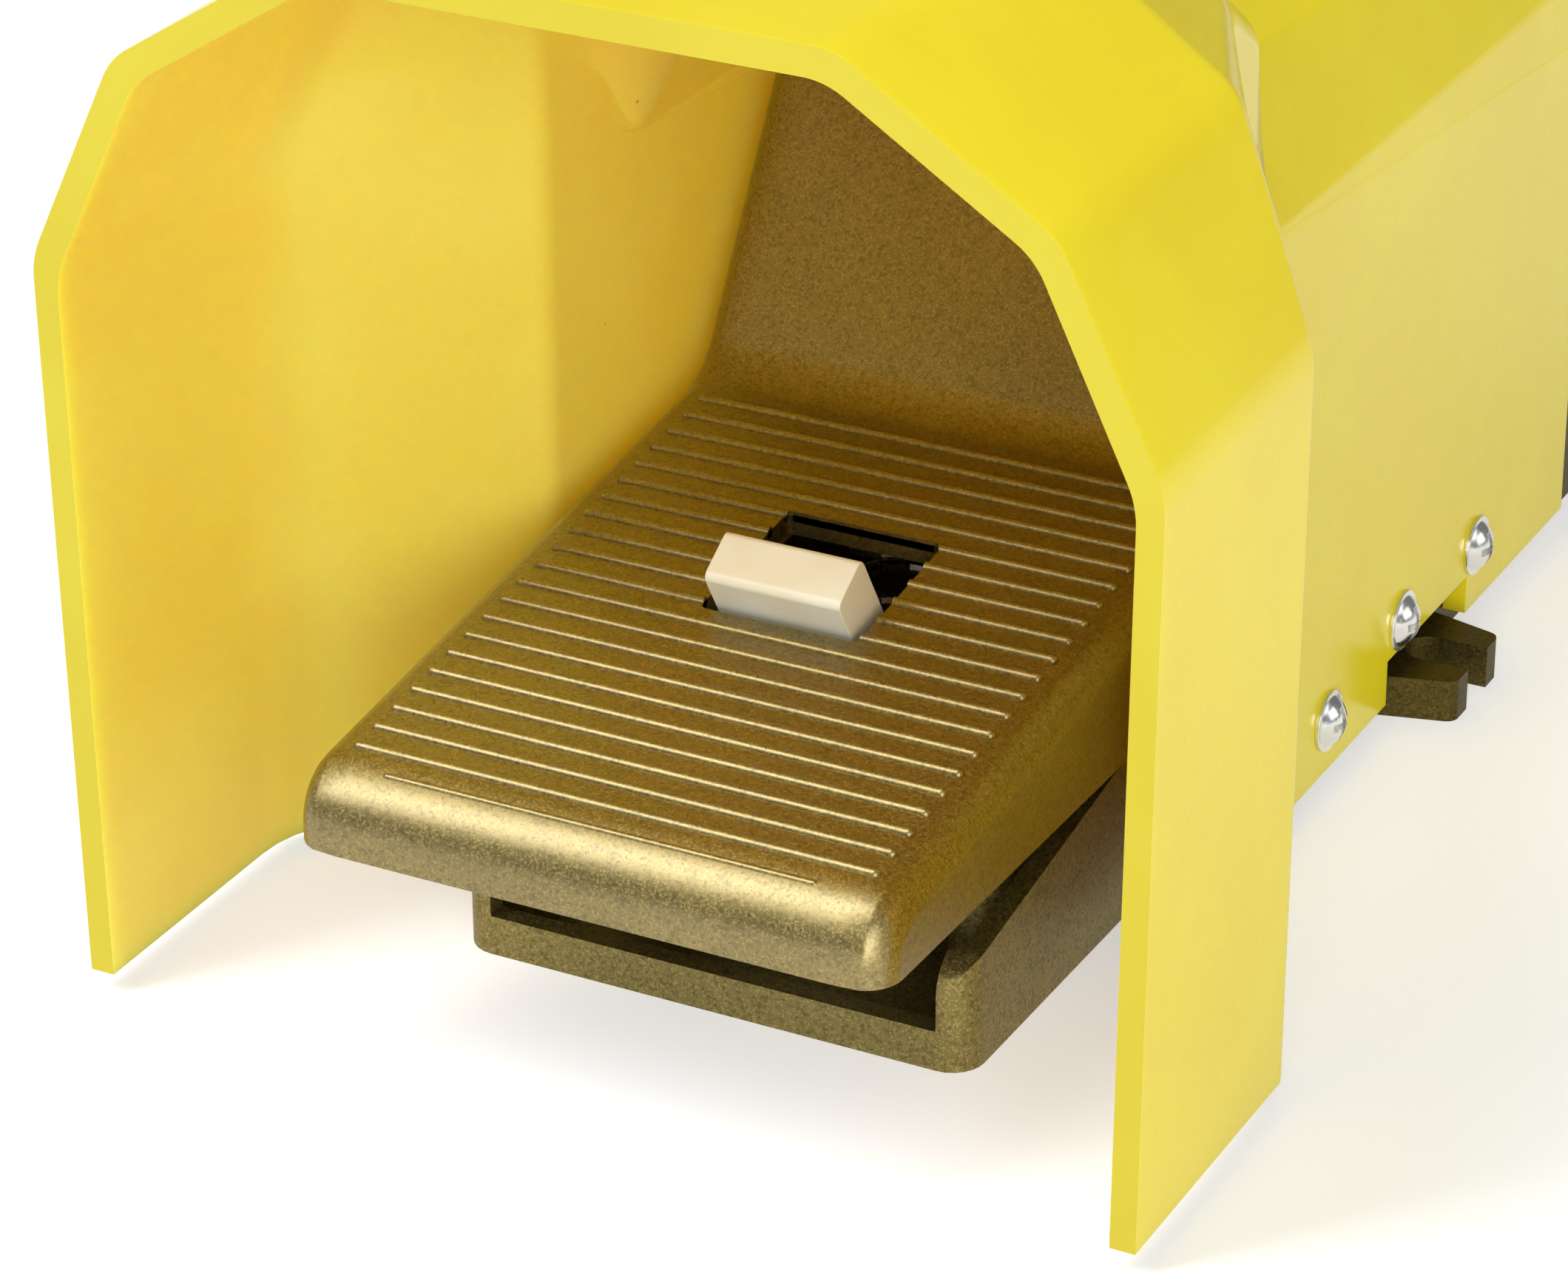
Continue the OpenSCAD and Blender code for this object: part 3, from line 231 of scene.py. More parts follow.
class Shader:
    """A material that is built from expressions"""

    def __init__(self, name):
        self.material = bpy.data.materials.new(name)
        self.material.use_nodes = True
        self.tree = self.material.node_tree
        self.surface = self.tree.nodes["Principled BSDF"]
        self.place = Value(self, self.tree.nodes.new("ShaderNodeTexCoord").outputs["Object"])

    def node(self, kind, settings=None, inputs=None, output=0):
        made = self.tree.nodes.new(kind)
        for key, value in (settings or {}).items():
            setattr(made, key, value)
        for key, value in (inputs or {}).items():
            self.feed(made.inputs[key], value)
        return Value(self, made.outputs[output])

    def feed(self, socket, value):
        if isinstance(value, Value):
            self.tree.links.new(value.socket, socket)
        elif isinstance(value, (tuple, list)) and len(socket.default_value) == 4:
            socket.default_value = (*value, 1.0)
        else:
            socket.default_value = value

    def set(self, **inputs):
        for key, value in inputs.items():
            self.feed(self.surface.inputs[key.replace("_", " ")], value)
        return self

    def stretched(self, scale):
        return self.node("ShaderNodeVectorMath", {"operation": "MULTIPLY"}, {0: self.place, 1: scale})

    def noise(self, size_mm, detail=2.0, roughness=0.5, place=None):
        """Noise between 0 and 1 whose features are about size_mm wide"""
        return self.node("ShaderNodeTexNoise", {},
                         {"Vector": place or self.place, "Scale": 1 / (size_mm * MM),
                          "Detail": detail, "Roughness": roughness})

    def cells(self, size_mm, output="Distance"):
        """Cells about size_mm wide: the distance from each one's middle, or a colour of its own"""
        return self.node("ShaderNodeTexVoronoi", {},
                         {"Vector": self.place, "Scale": 1 / (size_mm * MM)}, output)

    def red(self, value):
        return self.node("ShaderNodeSeparateColor", {}, {0: value})

    def mix(self, factor, a, b):
        """Colour a where factor is 0 and b where it is 1"""
        made = self.tree.nodes.new("ShaderNodeMix")
        made.data_type = "RGBA"
        self.feed(made.inputs["Factor"], factor)
        self.feed(made.inputs[6], a)
        self.feed(made.inputs[7], b)
        return Value(self, made.outputs[2])

    def bump(self, height, depth_mm, strength=1.0):
        return self.node("ShaderNodeBump", {},
                         {"Height": height, "Distance": depth_mm * MM, "Strength": strength})


def yellow_plastic(name, rgb, rough=0.2, glow=0.15, depth=1.0):
    """Glossy moulded plastic with faint flow marks, scuffs and a few dark specks; glow is the share of
    light that enters it, and depth scales how far that light goes"""
    s = Shader(name)
    flow = s.noise(28, 3, 0.55)
    fine = s.noise(3.2, 2)
    scuff = s.noise(1.2, 3, 0.6, s.stretched((0.25, 1.0, 3.0))).step(0.66, 0.72)
    speck = 1 - s.cells(9.0).step(0.018, 0.03)
    base = linear(rgb)
    tone = s.mix(flow.step(0.35, 0.68), shade(base, 0.96, 0.94, 0.84), base)
    tone = s.mix(speck * fine.step(0.5, 0.6) * 0.7, tone, linear((0.45, 0.38, 0.08)))
    s.set(Base_Color=tone, Roughness=fine.step(0.3, 0.7, rough - 0.03, rough + 0.03) + scuff * 0.12,
          IOR=1.45, Specular_IOR_Level=0.4, Normal=s.bump(flow + fine * 0.12, 0.10, 0.30))
    s.set(Subsurface_Weight=glow, Subsurface_Radius=(0.009, 0.0055, 0.0006), Subsurface_Scale=depth)
    return s.material


def flake_paint(name, rgb, spark=0.5, grain_mm=0.19, metal=1.0, rough=0.48, sand_mm=0.55, sand_depth=0.02,
                coat=0.0, painted_shade_span=None):
    """Metallic paint over a sandy casting: bright and dark flakes in a soft uneven sheen; the last
    argument, if given, is the pair of y values over which the colour darkens, as painted shade"""
    s = Shader(name)
    flakes = s.red(s.cells(grain_mm, "Color"))
    coarse = s.red(s.cells(grain_mm * 1.9, "Color"))
    cloud = s.noise(22, 3, 0.6)
    sand = s.noise(sand_mm, 2, 0.6)
    base = linear(rgb)
    tone = s.mix(cloud.step(0.3, 0.7), shade(base, 0.94), shade(base, 1.04))
    tone = s.mix(flakes.step(0.55, 1.0) * spark, tone, shade(base, 2.1, 2.1, 2.2))
    tone = s.mix(coarse.step(0.60, 1.0) * spark, tone, shade(base, 0.45))
    # Painted shade: between the two y values the colour darkens towards the rear, to about a third of itself
    # and yellower
    if painted_shade_span:
        y = s.node("ShaderNodeSeparateXYZ", {}, {0: s.place}, 1)
        painted_shade_tone = s.node("ShaderNodeVectorMath", {"operation": "MULTIPLY"}, {0: tone, 1: (0.36, 0.33, 0.22)})
        tone = s.mix(y.step(*painted_shade_span), tone, painted_shade_tone)
    s.set(Base_Color=tone, Metallic=metal, Roughness=flakes.step(0.2, 1.0, rough - 0.06, rough + 0.08),
          Normal=s.bump(sand + flakes * 0.2, sand_depth, 0.6))
    s.set(Coat_Weight=coat, Coat_Roughness=0.3, Coat_IOR=1.6)
    return s.material


def cast_metal(name, rgb, grain_mm=0.45, metal=0.55, rough=0.55):
    """Dark painted die casting with a sandy skin and paler rubbed patches"""
    s = Shader(name)
    grit = s.noise(grain_mm, 3, 0.65)
    flakes = s.red(s.cells(grain_mm * 0.8, "Color"))
    cloud = s.noise(15, 3, 0.6)
    base = linear(rgb)
    tone = s.mix(cloud.step(0.3, 0.75), shade(base, 0.85), shade(base, 1.12))
    tone = s.mix(flakes.step(0.84, 0.98) * 0.55, tone, shade(base, 2.6))
    tone = s.mix(grit.step(0.62, 0.75) * 0.35, tone, shade(base, 0.5))
    s.set(Base_Color=tone, Metallic=metal, Roughness=grit.step(0.3, 0.7, rough - 0.06, rough + 0.08),
          Normal=s.bump(grit, 0.10, 0.6))
    return s.material


def bright_metal(name, rgb, rough=0.16, streak=(1.0, 1.0, 1.0), depth=0.01):
    """Plated or drawn metal with fine streaks and small pits"""
    s = Shader(name)
    grain = s.noise(0.5, 3, 0.6, s.stretched(streak))
    cloud = s.noise(3.0, 2)
    base = linear(rgb)
    tone = s.mix(cloud.step(0.35, 0.7), shade(base, 0.90), base)
    s.set(Base_Color=tone, Metallic=1.0, Roughness=grain.step(0.3, 0.7, rough * 0.75, rough * 1.35),
          Normal=s.bump(grain, depth, 0.35))
    return s.material


def cream_nylon(name, rgb):
    """Moulded nylon: matt, slightly waxy, with faint draw marks and shading"""
    s = Shader(name)
    cloud = s.noise(6, 3)
    marks = s.noise(0.35, 2, 0.5, s.stretched((0.3, 1.0, 1.0)))
    base = linear(rgb)
    tone = s.mix(cloud.step(0.3, 0.7), shade(base, 0.96, 0.93, 0.86), base)
    s.set(Base_Color=tone, Roughness=marks.step(0.3, 0.7, 0.36, 0.50), IOR=1.5,
          Normal=s.bump(marks, 0.025, 0.4))
    s.set(Subsurface_Weight=0.12, Subsurface_Radius=(0.004, 0.003, 0.002), Subsurface_Scale=0.4)
    return s.material


def black_rubber(name):
    """Matt black rubber with a dusty grain"""
    s = Shader(name)
    grain = s.noise(0.4, 3, 0.6)
    dust = s.noise(5, 2)
    tone = s.mix(dust.step(0.4, 0.8), linear((0.09, 0.09, 0.09)), linear((0.17, 0.165, 0.155)))
    s.set(Base_Color=tone, Roughness=grain.step(0.3, 0.7, 0.62, 0.80), Normal=s.bump(grain, 0.04, 0.5))
    return s.material


# ---------------------------------------------------------------- outlines and meshes

def unit(v):
    return v / v.length


def arc_corner(a, p, b, radius, steps, least=0.0):
    """Corner p between neighbours a and b, rounded; the arc reaches at least so far along both edges"""
    if radius <= 0:
        return [p]
    u, v = unit(a - p), unit(b - p)
    half = math.acos(max(-1.0, min(1.0, u.dot(v)))) / 2
    if (u + v).length < 0.004:
        # A straight run: the points are spread along it, so that every ring has the same number
        return [p + (u if i * 2 < steps else v) * abs(1 - 2 * i / steps) * least for i in range(steps + 1)]
    radius = max(radius, least * math.tan(half))
    centre = p + unit(u + v) * radius / math.sin(half)
    start = p + u * radius / math.tan(half) - centre
    end = p + v * radius / math.tan(half) - centre
    a0 = math.atan2(start.y, start.x)
    turn = (math.atan2(end.y, end.x) - a0 + 3 * math.pi) % (2 * math.pi) - math.pi
    return [centre + radius * Vector((math.cos(a0 + turn * i / steps), math.sin(a0 + turn * i / steps)))
            for i in range(steps + 1)]


def inset(points, distances):
    """Clockwise outline whose edge i moves inwards by distances[i]"""
    n, out = len(points), []
    for i, p in enumerate(points):
        u, v = unit(p - points[i - 1]), unit(points[(i + 1) % n] - p)
        a = p + Vector((u.y, -u.x)) * distances[i - 1]
        b = p + Vector((v.y, -v.x)) * distances[i]
        across = u.x * v.y - u.y * v.x
        # On a straight run the two edges' lines never meet, so the point moves square to them
        out.append(a if abs(across) < 1e-4 else a + u * ((b - a).x * v.y - (b - a).y * v.x) / across)
    return out


def rounded(points, radii, steps, least=0.0):
    """Closed outline whose corner i is rounded by radii[i]"""
    n = len(points)
    return [q for i in range(n)
            for q in arc_corner(points[i - 1], points[i], points[(i + 1) % n], radii[i], steps, least)]


def mesh_object(name, verts, faces, materials=(), rounded_look=True):
    mesh = bpy.data.meshes.new(name)
    mesh.from_pydata([tuple(v) for v in verts], [], faces)
    mesh.update()
    obj = bpy.data.objects.new(name, mesh)
    bpy.context.scene.collection.objects.link(obj)
    for m in materials:
        mesh.materials.append(m)
    if rounded_look:
        smooth(obj)
    return obj


def smooth(obj):
    """Shades every face smoothly"""
    obj.data.polygons.foreach_set("use_smooth", [True] * len(obj.data.polygons))


def numbered(obj, slots):
    """Gives every face its material's number"""
    obj.data.polygons.foreach_set("material_index", slots)


def copy_of(node, name):
    """A CAD solid's own form as a new piece"""
    piece = bpy.data.objects.new(name, frame["nodes"][node].data.copy())
    bpy.context.scene.collection.objects.link(piece)
    return piece


def settle(obj):
    """Turns an object's modifiers into its mesh"""
    graph = bpy.context.evaluated_depsgraph_get()
    made = bpy.data.meshes.new_from_object(obj.evaluated_get(graph))
    old = obj.data
    obj.modifiers.clear()
    obj.data = made
    bpy.data.meshes.remove(old)


def even_normals(obj, weight, keep_sharp=False):
    """Keeps broad faces flat where they meet rounded edges"""
    weigh = obj.modifiers.new("normals", "WEIGHTED_NORMAL")
    weigh.keep_sharp, weigh.weight = keep_sharp, weight


def facing_out(obj):
    """Turns every face outwards"""
    bm = bmesh.new()
    bm.from_mesh(obj.data)
    bmesh.ops.recalc_face_normals(bm, faces=bm.faces)
    bm.to_mesh(obj.data)
    bm.free()
    return obj


def loft(name, outlines):
    """Closed solid through outlines that have the same number of points"""
    m, verts, faces = len(outlines[0]), [v for o in outlines for v in o], []
    for i in range(len(outlines) - 1):
        for j in range(m):
            k = (j + 1) % m
            faces.append((i * m + j, (i + 1) * m + j, (i + 1) * m + k, i * m + k))
    faces.append(tuple(range(m)))
    faces.append(tuple(range(len(verts) - 1, len(verts) - 1 - m, -1)))
    return facing_out(mesh_object(name, verts, faces))


def rectangle(x0, y0, x1, y1):
    """Corners of a rectangle, clockwise"""
    return [Vector((x0, y0)), Vector((x0, y1)), Vector((x1, y1)), Vector((x1, y0))]


def slab(name, outline, x0, x1):
    """Prism of a (y, z) outline between two x values"""
    return loft(name, [[Vector((x, p.x, p.y)) for p in outline] for x in (x0, x1)])


def disc(radius, steps):
    """Points round a circle about the origin"""
    return [Vector((radius * math.cos(2 * math.pi * i / steps), radius * math.sin(2 * math.pi * i / steps)))
            for i in range(steps)]


def carve(obj, cutters, operation="DIFFERENCE"):
    """Booleans whose results are applied at once"""
    for cutter in cutters:
        step = obj.modifiers.new("carve", "BOOLEAN")
        step.operation, step.object, step.solver = operation, cutter, "EXACT"
    settle(obj)
    for cutter in cutters:
        bpy.data.objects.remove(cutter)
    return obj


def soften(obj, width_mm, segments=2, angle=35.0, where=None):
    """Rounds the sharp edges, or those whose middle passes the test, and keeps broad faces flat"""
    bm = bmesh.new()
    bm.from_mesh(obj.data)
    weight = bm.edges.layers.float.new("bevel_weight_edge")
    for edge in bm.edges:
        if len(edge.link_faces) == 2 and edge.calc_face_angle(0.0) > math.radians(angle):
            if where is None or where((edge.verts[0].co + edge.verts[1].co) / 2):
                edge[weight] = 1.0
    bm.to_mesh(obj.data)
    bm.free()
    bevel = obj.modifiers.new("edges", "BEVEL")
    bevel.width, bevel.segments, bevel.limit_method = width_mm * MM, segments, "WEIGHT"
    bevel.use_clamp_overlap, bevel.miter_outer = True, "MITER_ARC"
    settle(obj)
    smooth(obj)
    even_normals(obj, 100)
    return obj


def dress(piece, body, slot, material, *replaced):
    """Hands a finished piece to the frame"""
    # Clearing the slots also clears each face's own slot number, so those are put back
    faces = piece.data.polygons
    slots = [0] * len(faces)
    faces.foreach_get("material_index", slots)
    piece.data.materials.clear()
    for m in material if isinstance(material, tuple) else (material,):
        piece.data.materials.append(m)
    if isinstance(material, tuple):
        numbered(piece, slots)
    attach(piece, body)
    if replaced:
        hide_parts(*replaced)
    return piece


def joined(name, pieces):
    """One object that holds the meshes of all the pieces"""
    bm = bmesh.new()
    for piece in pieces:
        bm.from_mesh(piece.data)
    mesh = bpy.data.meshes.new(name)
    bm.to_mesh(mesh)
    bm.free()
    for piece in pieces:
        bpy.data.objects.remove(piece)
    made = bpy.data.objects.new(name, mesh)
    bpy.context.scene.collection.objects.link(made)
    return made


def softened_copy(node, name, width_mm, segments=2, angle=35.0):
    """A CAD solid's own form with its flat faces made whole and its edges rounded"""
    piece = copy_of(node, name)
    bm = bmesh.new()
    bm.from_mesh(piece.data)
    bmesh.ops.remove_doubles(bm, verts=bm.verts, dist=0.002 * MM)
    bmesh.ops.dissolve_limit(bm, angle_limit=math.radians(0.6), verts=bm.verts, edges=bm.edges)
    bm.to_mesh(piece.data)
    bm.free()
    return soften(piece, width_mm, segments, angle)


def paint(material, *nodes):
    """Gives a finish to CAD solids that are shown in their own form"""
    for node in nodes:
        slots = frame["nodes"][node].data.materials
        slots.clear()
        slots.append(material)


class Step(bpy.types.Operator):
    """Shared behaviour of every operator here"""
    bl_options = {"REGISTER", "UNDO"}

    def execute(self, context):
        self.make(context)
        return {"FINISHED"}


# ---------------------------------------------------------------- guard

def guard_stations(g):
    """(distance behind the mouth, lean, right half of the outline from its lower edge to the crown)"""
    side_x, side_z = g.rear_width / 2, g.side_height
    crown, haunch = Vector((g.crown_width / 2, g.height)), Vector((g.haunch_width / 2, g.haunch_height))

    def half(*offsets):
        """The rear half's outline: each point in millimetres from its own corner of the form"""
        side = Vector((side_x, side_z))
        corners = [side, side, Vector((side_x, g.haunch_height)), crown]
        return [Vector((side_x, g.lift)), *[c + Vector(o) * MM for c, o in zip(corners, offsets)]]

    def collar(splay):
        side = Vector((g.width / 2 + splay, g.leg_height))
        return [Vector((g.width / 2, g.lift)), side, side.lerp(haunch, 0.3), haunch, crown]

    neck, drop = g.collar + g.neck, g.side_drop / MM
    step = neck + g.step_start
    low_crown = (side_z - g.height) / MM
    low_haunch = (side_z - g.haunch_height) / MM
    behind_lip = g.lip_length / g.collar
    return [
        (0.0, 0, collar(g.splay)),
        (g.lip_length, g.lean * behind_lip, collar(g.splay * (1 - behind_lip / 2))),
        (g.collar, g.lean, collar(g.splay / 2)),
        (neck, 0, half((0, 4), (0.1, 14), (3.3, 1.4), (-4, -2))),
        (step, 0, half((0, 1), (-0.1, 9), (-0.6, -8), (-7, -13))),
        (step + g.step_length, 0, half((0, 0), (-0.3, 0.8), (-8.4, low_haunch + 18.5), (-8, low_crown + 28))),
        (g.length, 0, half((0, -drop), (-0.8, -1), (-7, low_haunch + 13), (-10, low_crown + 20))),
    ]


def guard_ring(half, y, depth, lean, g, steps=6):
    """Outline from the lower left edge over the crown to the lower right edge, depth inside the skin"""
    points = [Vector((-p.x, p.y)) for p in half] + list(reversed(half))
    n = len(points)
    lip = g.lip if depth and y <= 0 else 0
    distances = [0 if i == n - 1 else depth + (lip if 0 < i < n - 2 else 0) for i in range(n)]
    # Behind the step, where nothing looks in, the inner bends are tight and their arcs may be short
    behind_step = y > g.collar + g.neck + g.step_start + MM
    inner_bend = max(g.bend - depth, 0.8 * MM) if behind_step else g.inner_bend
    radius = inner_bend if depth else g.bend
    least = 0.3 * MM if behind_step else 2.5 * MM
    radii = [0 if i in (0, n - 1) else radius for i in range(n)]
    return [Vector((p.x, MOUTH_Y + y + lean * max(0.0, p.y - g.leg_height), p.y))
            for p in rounded(inset(points, distances), radii, steps, least)]


def eased(rings, reaches_mm, steps=4, most=0.4):
    """Rounds the kinks at all stations but the first and last, each over its own reach
    and at most over this share of the way to the next station"""
    out = [rings[0]]
    for before, here, after, reach_mm in zip(rings, rings[1:], rings[2:], reaches_mm):
        stages = [[] for _ in range(steps + 1)]
        for a, p, b in zip(before, here, after):
            u, v = a - p, b - p
            start = p + u * min(reach_mm * MM / u.length, most)
            end = p + v * min(reach_mm * MM / v.length, most)
            for k, stage in enumerate(stages):
                t = k / steps
                stage.append(start * (1 - t) ** 2 + p * 2 * t * (1 - t) + end * t * t)
        out += stages
    return out + [rings[-1]]


class MakeGuard(Step):
    """Make the moulded guard with rounded bends and rims"""
    bl_idname = "foot_pedal.guard"
    bl_label = "Guard"

    def make(self, context):
        g = context.scene.guard_settings
        stations = guard_stations(g)
        neck_turn = math.radians(45)
        shift = g.wall * math.tan(neck_turn / 2)
        # How far each station lies further forward on the inside, where the step is also drawn out
        shifts = (0, 0, shift, shift, 6 * MM, 3 * MM, 0)
        outer = eased([guard_ring(h, y, 0, lean, g) for y, lean, h in stations], (1.0, 0.8, 2.6, 2.6, 2.6))
        inner = eased([guard_ring(h, y - forward, g.wall, lean, g)
                       for (y, lean, h), forward in zip(stations, shifts)], (2.5, 6.0, 2.0, 4.0, 4.0))
        m, rows = len(outer[0]), len(outer)
        verts = [v for ring in outer + inner for v in ring]
        skin, lining, rim = [], [], []
        for i in range(rows - 1):
            for j in range(m - 1):
                a, b = i * m + j, (i + 1) * m + j
                skin.append((a, b, b + 1, a + 1))
                c, d = a + rows * m, b + rows * m
                lining.append((c, c + 1, d + 1, d))
            for j in (0, m - 1):
                a, b = i * m + j, (i + 1) * m + j
                rim.append((a, a + rows * m, b + rows * m, b))
        for i in (0, rows - 1):
            for j in range(m - 1):
                a, c = i * m + j, (rows + i) * m + j
                rim.append((a, a + 1, c + 1, c))
        shell = mesh_object("guard_shell", verts, skin + rim + lining)
        numbered(shell, [0] * len(skin) + [2] * len(rim) + [1] * len(lining))
        facing_out(shell)

        # The notches over the ears, and the lower edge behind them
        rear_y, through = MOUTH_Y + g.notch_rear, 5 * MM
        notch = rectangle(MOUTH_Y + g.notch_front, 0, rear_y, g.notch_height)
        tail = rectangle(rear_y - MM, 0, MOUTH_Y + g.length + MM, g.lift + g.tail_lift)
        cutters = [slab("tail", tail, -g.rear_width, g.rear_width)]
        for x in (-g.rear_width / 2, g.rear_width / 2):
            cutters.append(slab("notch", notch, x - through, x + through))
        carve(shell, cutters)
        soften(shell, g.rim / MM, segments=3, angle=50)
        plastics = (yellow_plastic("guard_plastic", g.colour),
                    # The lining's colour is painted glow and painted reflection
                    yellow_plastic("guard_plastic_inside", g.inside_painted_glow_colour, rough=0.32, glow=1.0, depth=1.6),
                    # The rims' darker colour is painted shade
                    yellow_plastic("guard_plastic_rim", g.rim_painted_shade_colour, rough=0.35, glow=0.0))
        dress(shell, BASE_BODY, "guard", plastics, "guard")


# ---------------------------------------------------------------- pedal

def pedal_outline(p):
    """Corners of the pedal's side view in (y, z), from its lower front over the hood to its lower rear"""
    foot = Vector((p.riser, p.tread + (p.riser + p.nose_lead) * math.tan(TREAD_RISE)))
    up_riser = Vector((math.cos(RISER_RISE), math.sin(RISER_RISE)))
    front = foot + up_riser * (p.hood - foot.y) / math.sin(RISER_RISE)
    # Towards the rear the hood and the skirts fall by so much per unit of length
    hood_fall, skirt_fall = 0.16, 0.02
    return [Vector((-p.nose_lead, p.skirt)), Vector((-p.nose_lead, p.tread)), foot, front,
            Vector((p.hood_end, p.hood - hood_fall * (p.hood_end - front.x))),
            Vector((p.hood_end, p.skirt - skirt_fall * (p.hood_end + p.nose_lead)))]


def pedal_section(p, depth, steps=16):
    """That side view with round corners, its seen edges moved inwards by depth"""
    radii = [0, p.nose_radius - depth, p.fillet + depth, p.hood_radius - depth, p.hood_radius - depth, 0]
    return rounded(inset(pedal_outline(p), [depth] * 5 + [0]), radii, steps)


def bead(y, z, radius, reach, steps=20, ends=7):
    """Round bar along x with round tips, reach from its middle to each tip"""
    first = 6  # degrees from the axis, so that a tip ends in a small flat and not in a point
    tips = [(reach - radius + radius * math.cos(a), radius * math.sin(a))
            for a in (math.radians(first + (90 - first) * k / ends) for k in range(ends + 1))]
    rings = [[Vector((x, y + q.x, z + q.y)) for q in disc(r, steps)]
             for x, r in [(-x, r) for x, r in tips] + list(reversed(tips))]
    return loft("bead", rings)


def tread_ribs(p):
    """The ribs across the tread, sunk into it, and the finer one on the nose"""
    along = Vector((math.cos(TREAD_RISE), math.sin(TREAD_RISE)))
    up = Vector((-math.sin(TREAD_RISE), math.cos(TREAD_RISE)))
    first = Vector((p.first_rib, p.tread + (p.first_rib + p.nose_lead) * math.tan(TREAD_RISE)))
    made = []
    for k in range(p.ribs):
        middle = first + along * k * p.rib_pitch + up * (p.rib_rise - p.rib_radius)
        made.append(bead(MOUTH_Y + middle.x, middle.y, p.rib_radius, p.rib_length / 2))
    centre = Vector((p.nose_radius - p.nose_lead, p.tread + p.nose_radius * math.tan(TREAD_RISE)
                     - p.nose_radius / math.cos(TREAD_RISE)))
    # The nose rib stands at this angle round the nose, up from the horizontal
    turn = math.radians(56) + TREAD_RISE
    middle = centre + Vector((-math.cos(turn), math.sin(turn))) * (p.nose_radius - p.nose_rib_radius / 2)
    made.append(bead(MOUTH_Y + middle.x, middle.y, p.nose_rib_radius, p.nose_rib_length / 2))
    return joined("ribs", made)


class MakePedal(Step):
    """Make the cast pedal: soft edges, ribs that grow out of the tread, and its lugs"""
    bl_idname = "foot_pedal.pedal"
    bl_label = "Pedal"

    def make(self, context):
        p = context.scene.pedal_settings
        flat = p.width / 2 - p.side_radius
        # Rings round the side edge, and one on the flat beside it
        xs = [flat + p.side_radius * math.cos(math.radians(a)) for a in range(0, 75, 7)]
        xs.append(flat - 1.5 * MM)
        rings = []
        for x in xs + [-x for x in reversed(xs)]:
            past = max(0.0, abs(x) - flat)
            depth = p.side_radius - math.sqrt(max(0.0, p.side_radius ** 2 - past ** 2))
            rings.append([Vector((x, MOUTH_Y + q.x, q.y)) for q in pedal_section(p, depth)])
        body = loft("skin", rings)

        # The hollow runs out past the open rear and underside
        past_open = 2 * MM
        walls = [p.nose_wall, p.tread_wall, p.hood_wall, p.hood_wall, -past_open, -past_open]
        radii = [0, 5 * MM, p.fillet + p.tread_wall, p.hood_radius - p.tread_wall, 0, 0]
        hollow = [Vector((q.x + MOUTH_Y, q.y)) for q in rounded(inset(pedal_outline(p), walls), radii, 10)]
        cheek = p.width / 2 - p.cheek
        half_slot, slot_rear = p.slot_width / 2, p.slot_front + p.slot_length
        slot = rounded(rectangle(-half_slot, p.slot_front, half_slot, slot_rear), [p.slot_radius] * 4, 4)

        def slot_cutter(low=30 * MM, high=60 * MM):
            return loft("slot", [[Vector((q.x, MOUTH_Y + q.y, z)) for q in slot] for z in (low, high)])

        cutters = [slab("hollow", hollow, -cheek, cheek), slot_cutter()]
        for cutter in cutters:
            numbered(cutter, [1] * len(cutter.data.polygons))
        carve(body, cutters)
        # The rims of the skirts and the hood are rounded, and those of the slot are not
        skirt_z, hood_y = 30 * MM, MOUTH_Y + p.riser + 12 * MM
        soften(body, p.rim / MM, angle=50, where=lambda q: q.z < skirt_z or q.y > hood_y)
        body.modifiers.clear()
        # The CAD solid's own lugs, pads and bosses lie under the tread, and run a little into the skin
        lapped = cheek + 0.2 * MM
        under = carve(copy_of("pedal", "pedal_lugs"), [slab("skin", hollow, -lapped, lapped)], "INTERSECT")
        numbered(under, [1] * len(under.data.polygons))
        body = joined("pedal_casting", [body, under, carve(tread_ribs(p), [slot_cutter()])])
        smooth(body)
        body.data.set_sharp_from_angle(angle=math.radians(55))
        even_normals(body, 80, keep_sharp=True)
        paints = (flake_paint("pedal_paint", p.colour, rough=0.45, coat=0.6),
                  # The hollow under the tread, its lugs and the slot's walls take the paint darkened to 0.72,
                  # as painted shade in these recesses
                  flake_paint("pedal_paint_inside", shade(p.colour, 0.72), rough=0.6))
        dress(body, PEDAL_BODY, "pedal", paints, "pedal")


# ---------------------------------------------------------------- base and small parts

class MakeBase(Step):
    """Round the edges of the cast base"""
    bl_idname = "foot_pedal.base"
    bl_label = "Base"

    def make(self, context):
        piece = softened_copy("base", "base_casting", 0.7, segments=3, angle=40)
        # The paint darkens as painted shade from 50 mm to 135 mm behind the mouth, and stays dark over the
        # ears behind
        coat = flake_paint("base_paint", (0.53, 0.48, 0.29), spark=0.6, grain_mm=0.2, metal=0.95, rough=0.5,
                           sand_mm=0.45, sand_depth=0.06, painted_shade_span=(MOUTH_Y + 50 * MM, MOUTH_Y + 135 * MM))
        dress(piece, BASE_BODY, "base", coat, "base")


class MakeLever(Step):
    """Round the edges of the lock lever"""
    bl_idname = "foot_pedal.lever"
    bl_label = "Lock lever"

    def make(self, context):
        piece = softened_copy("lock_lever", "lever_moulding", 0.5, segments=3, angle=40)
        dress(piece, LEVER_BODY, "nylon", cream_nylon("lever_nylon", (0.90, 0.89, 0.82)), "lock_lever")


class MakeGuardScrews(Step):
    """Finish the guard's domed screws"""
    bl_idname = "foot_pedal.guard_screws"
    bl_label = "Guard screws"

    def make(self, context):
        piece = softened_copy("guard_screws", "guard_screw_heads", 0.12, angle=40)
        zinc = bright_metal("screw_zinc", (0.93, 0.93, 0.92), rough=0.2)
        dress(piece, BASE_BODY, "screw", zinc, "guard_screws")


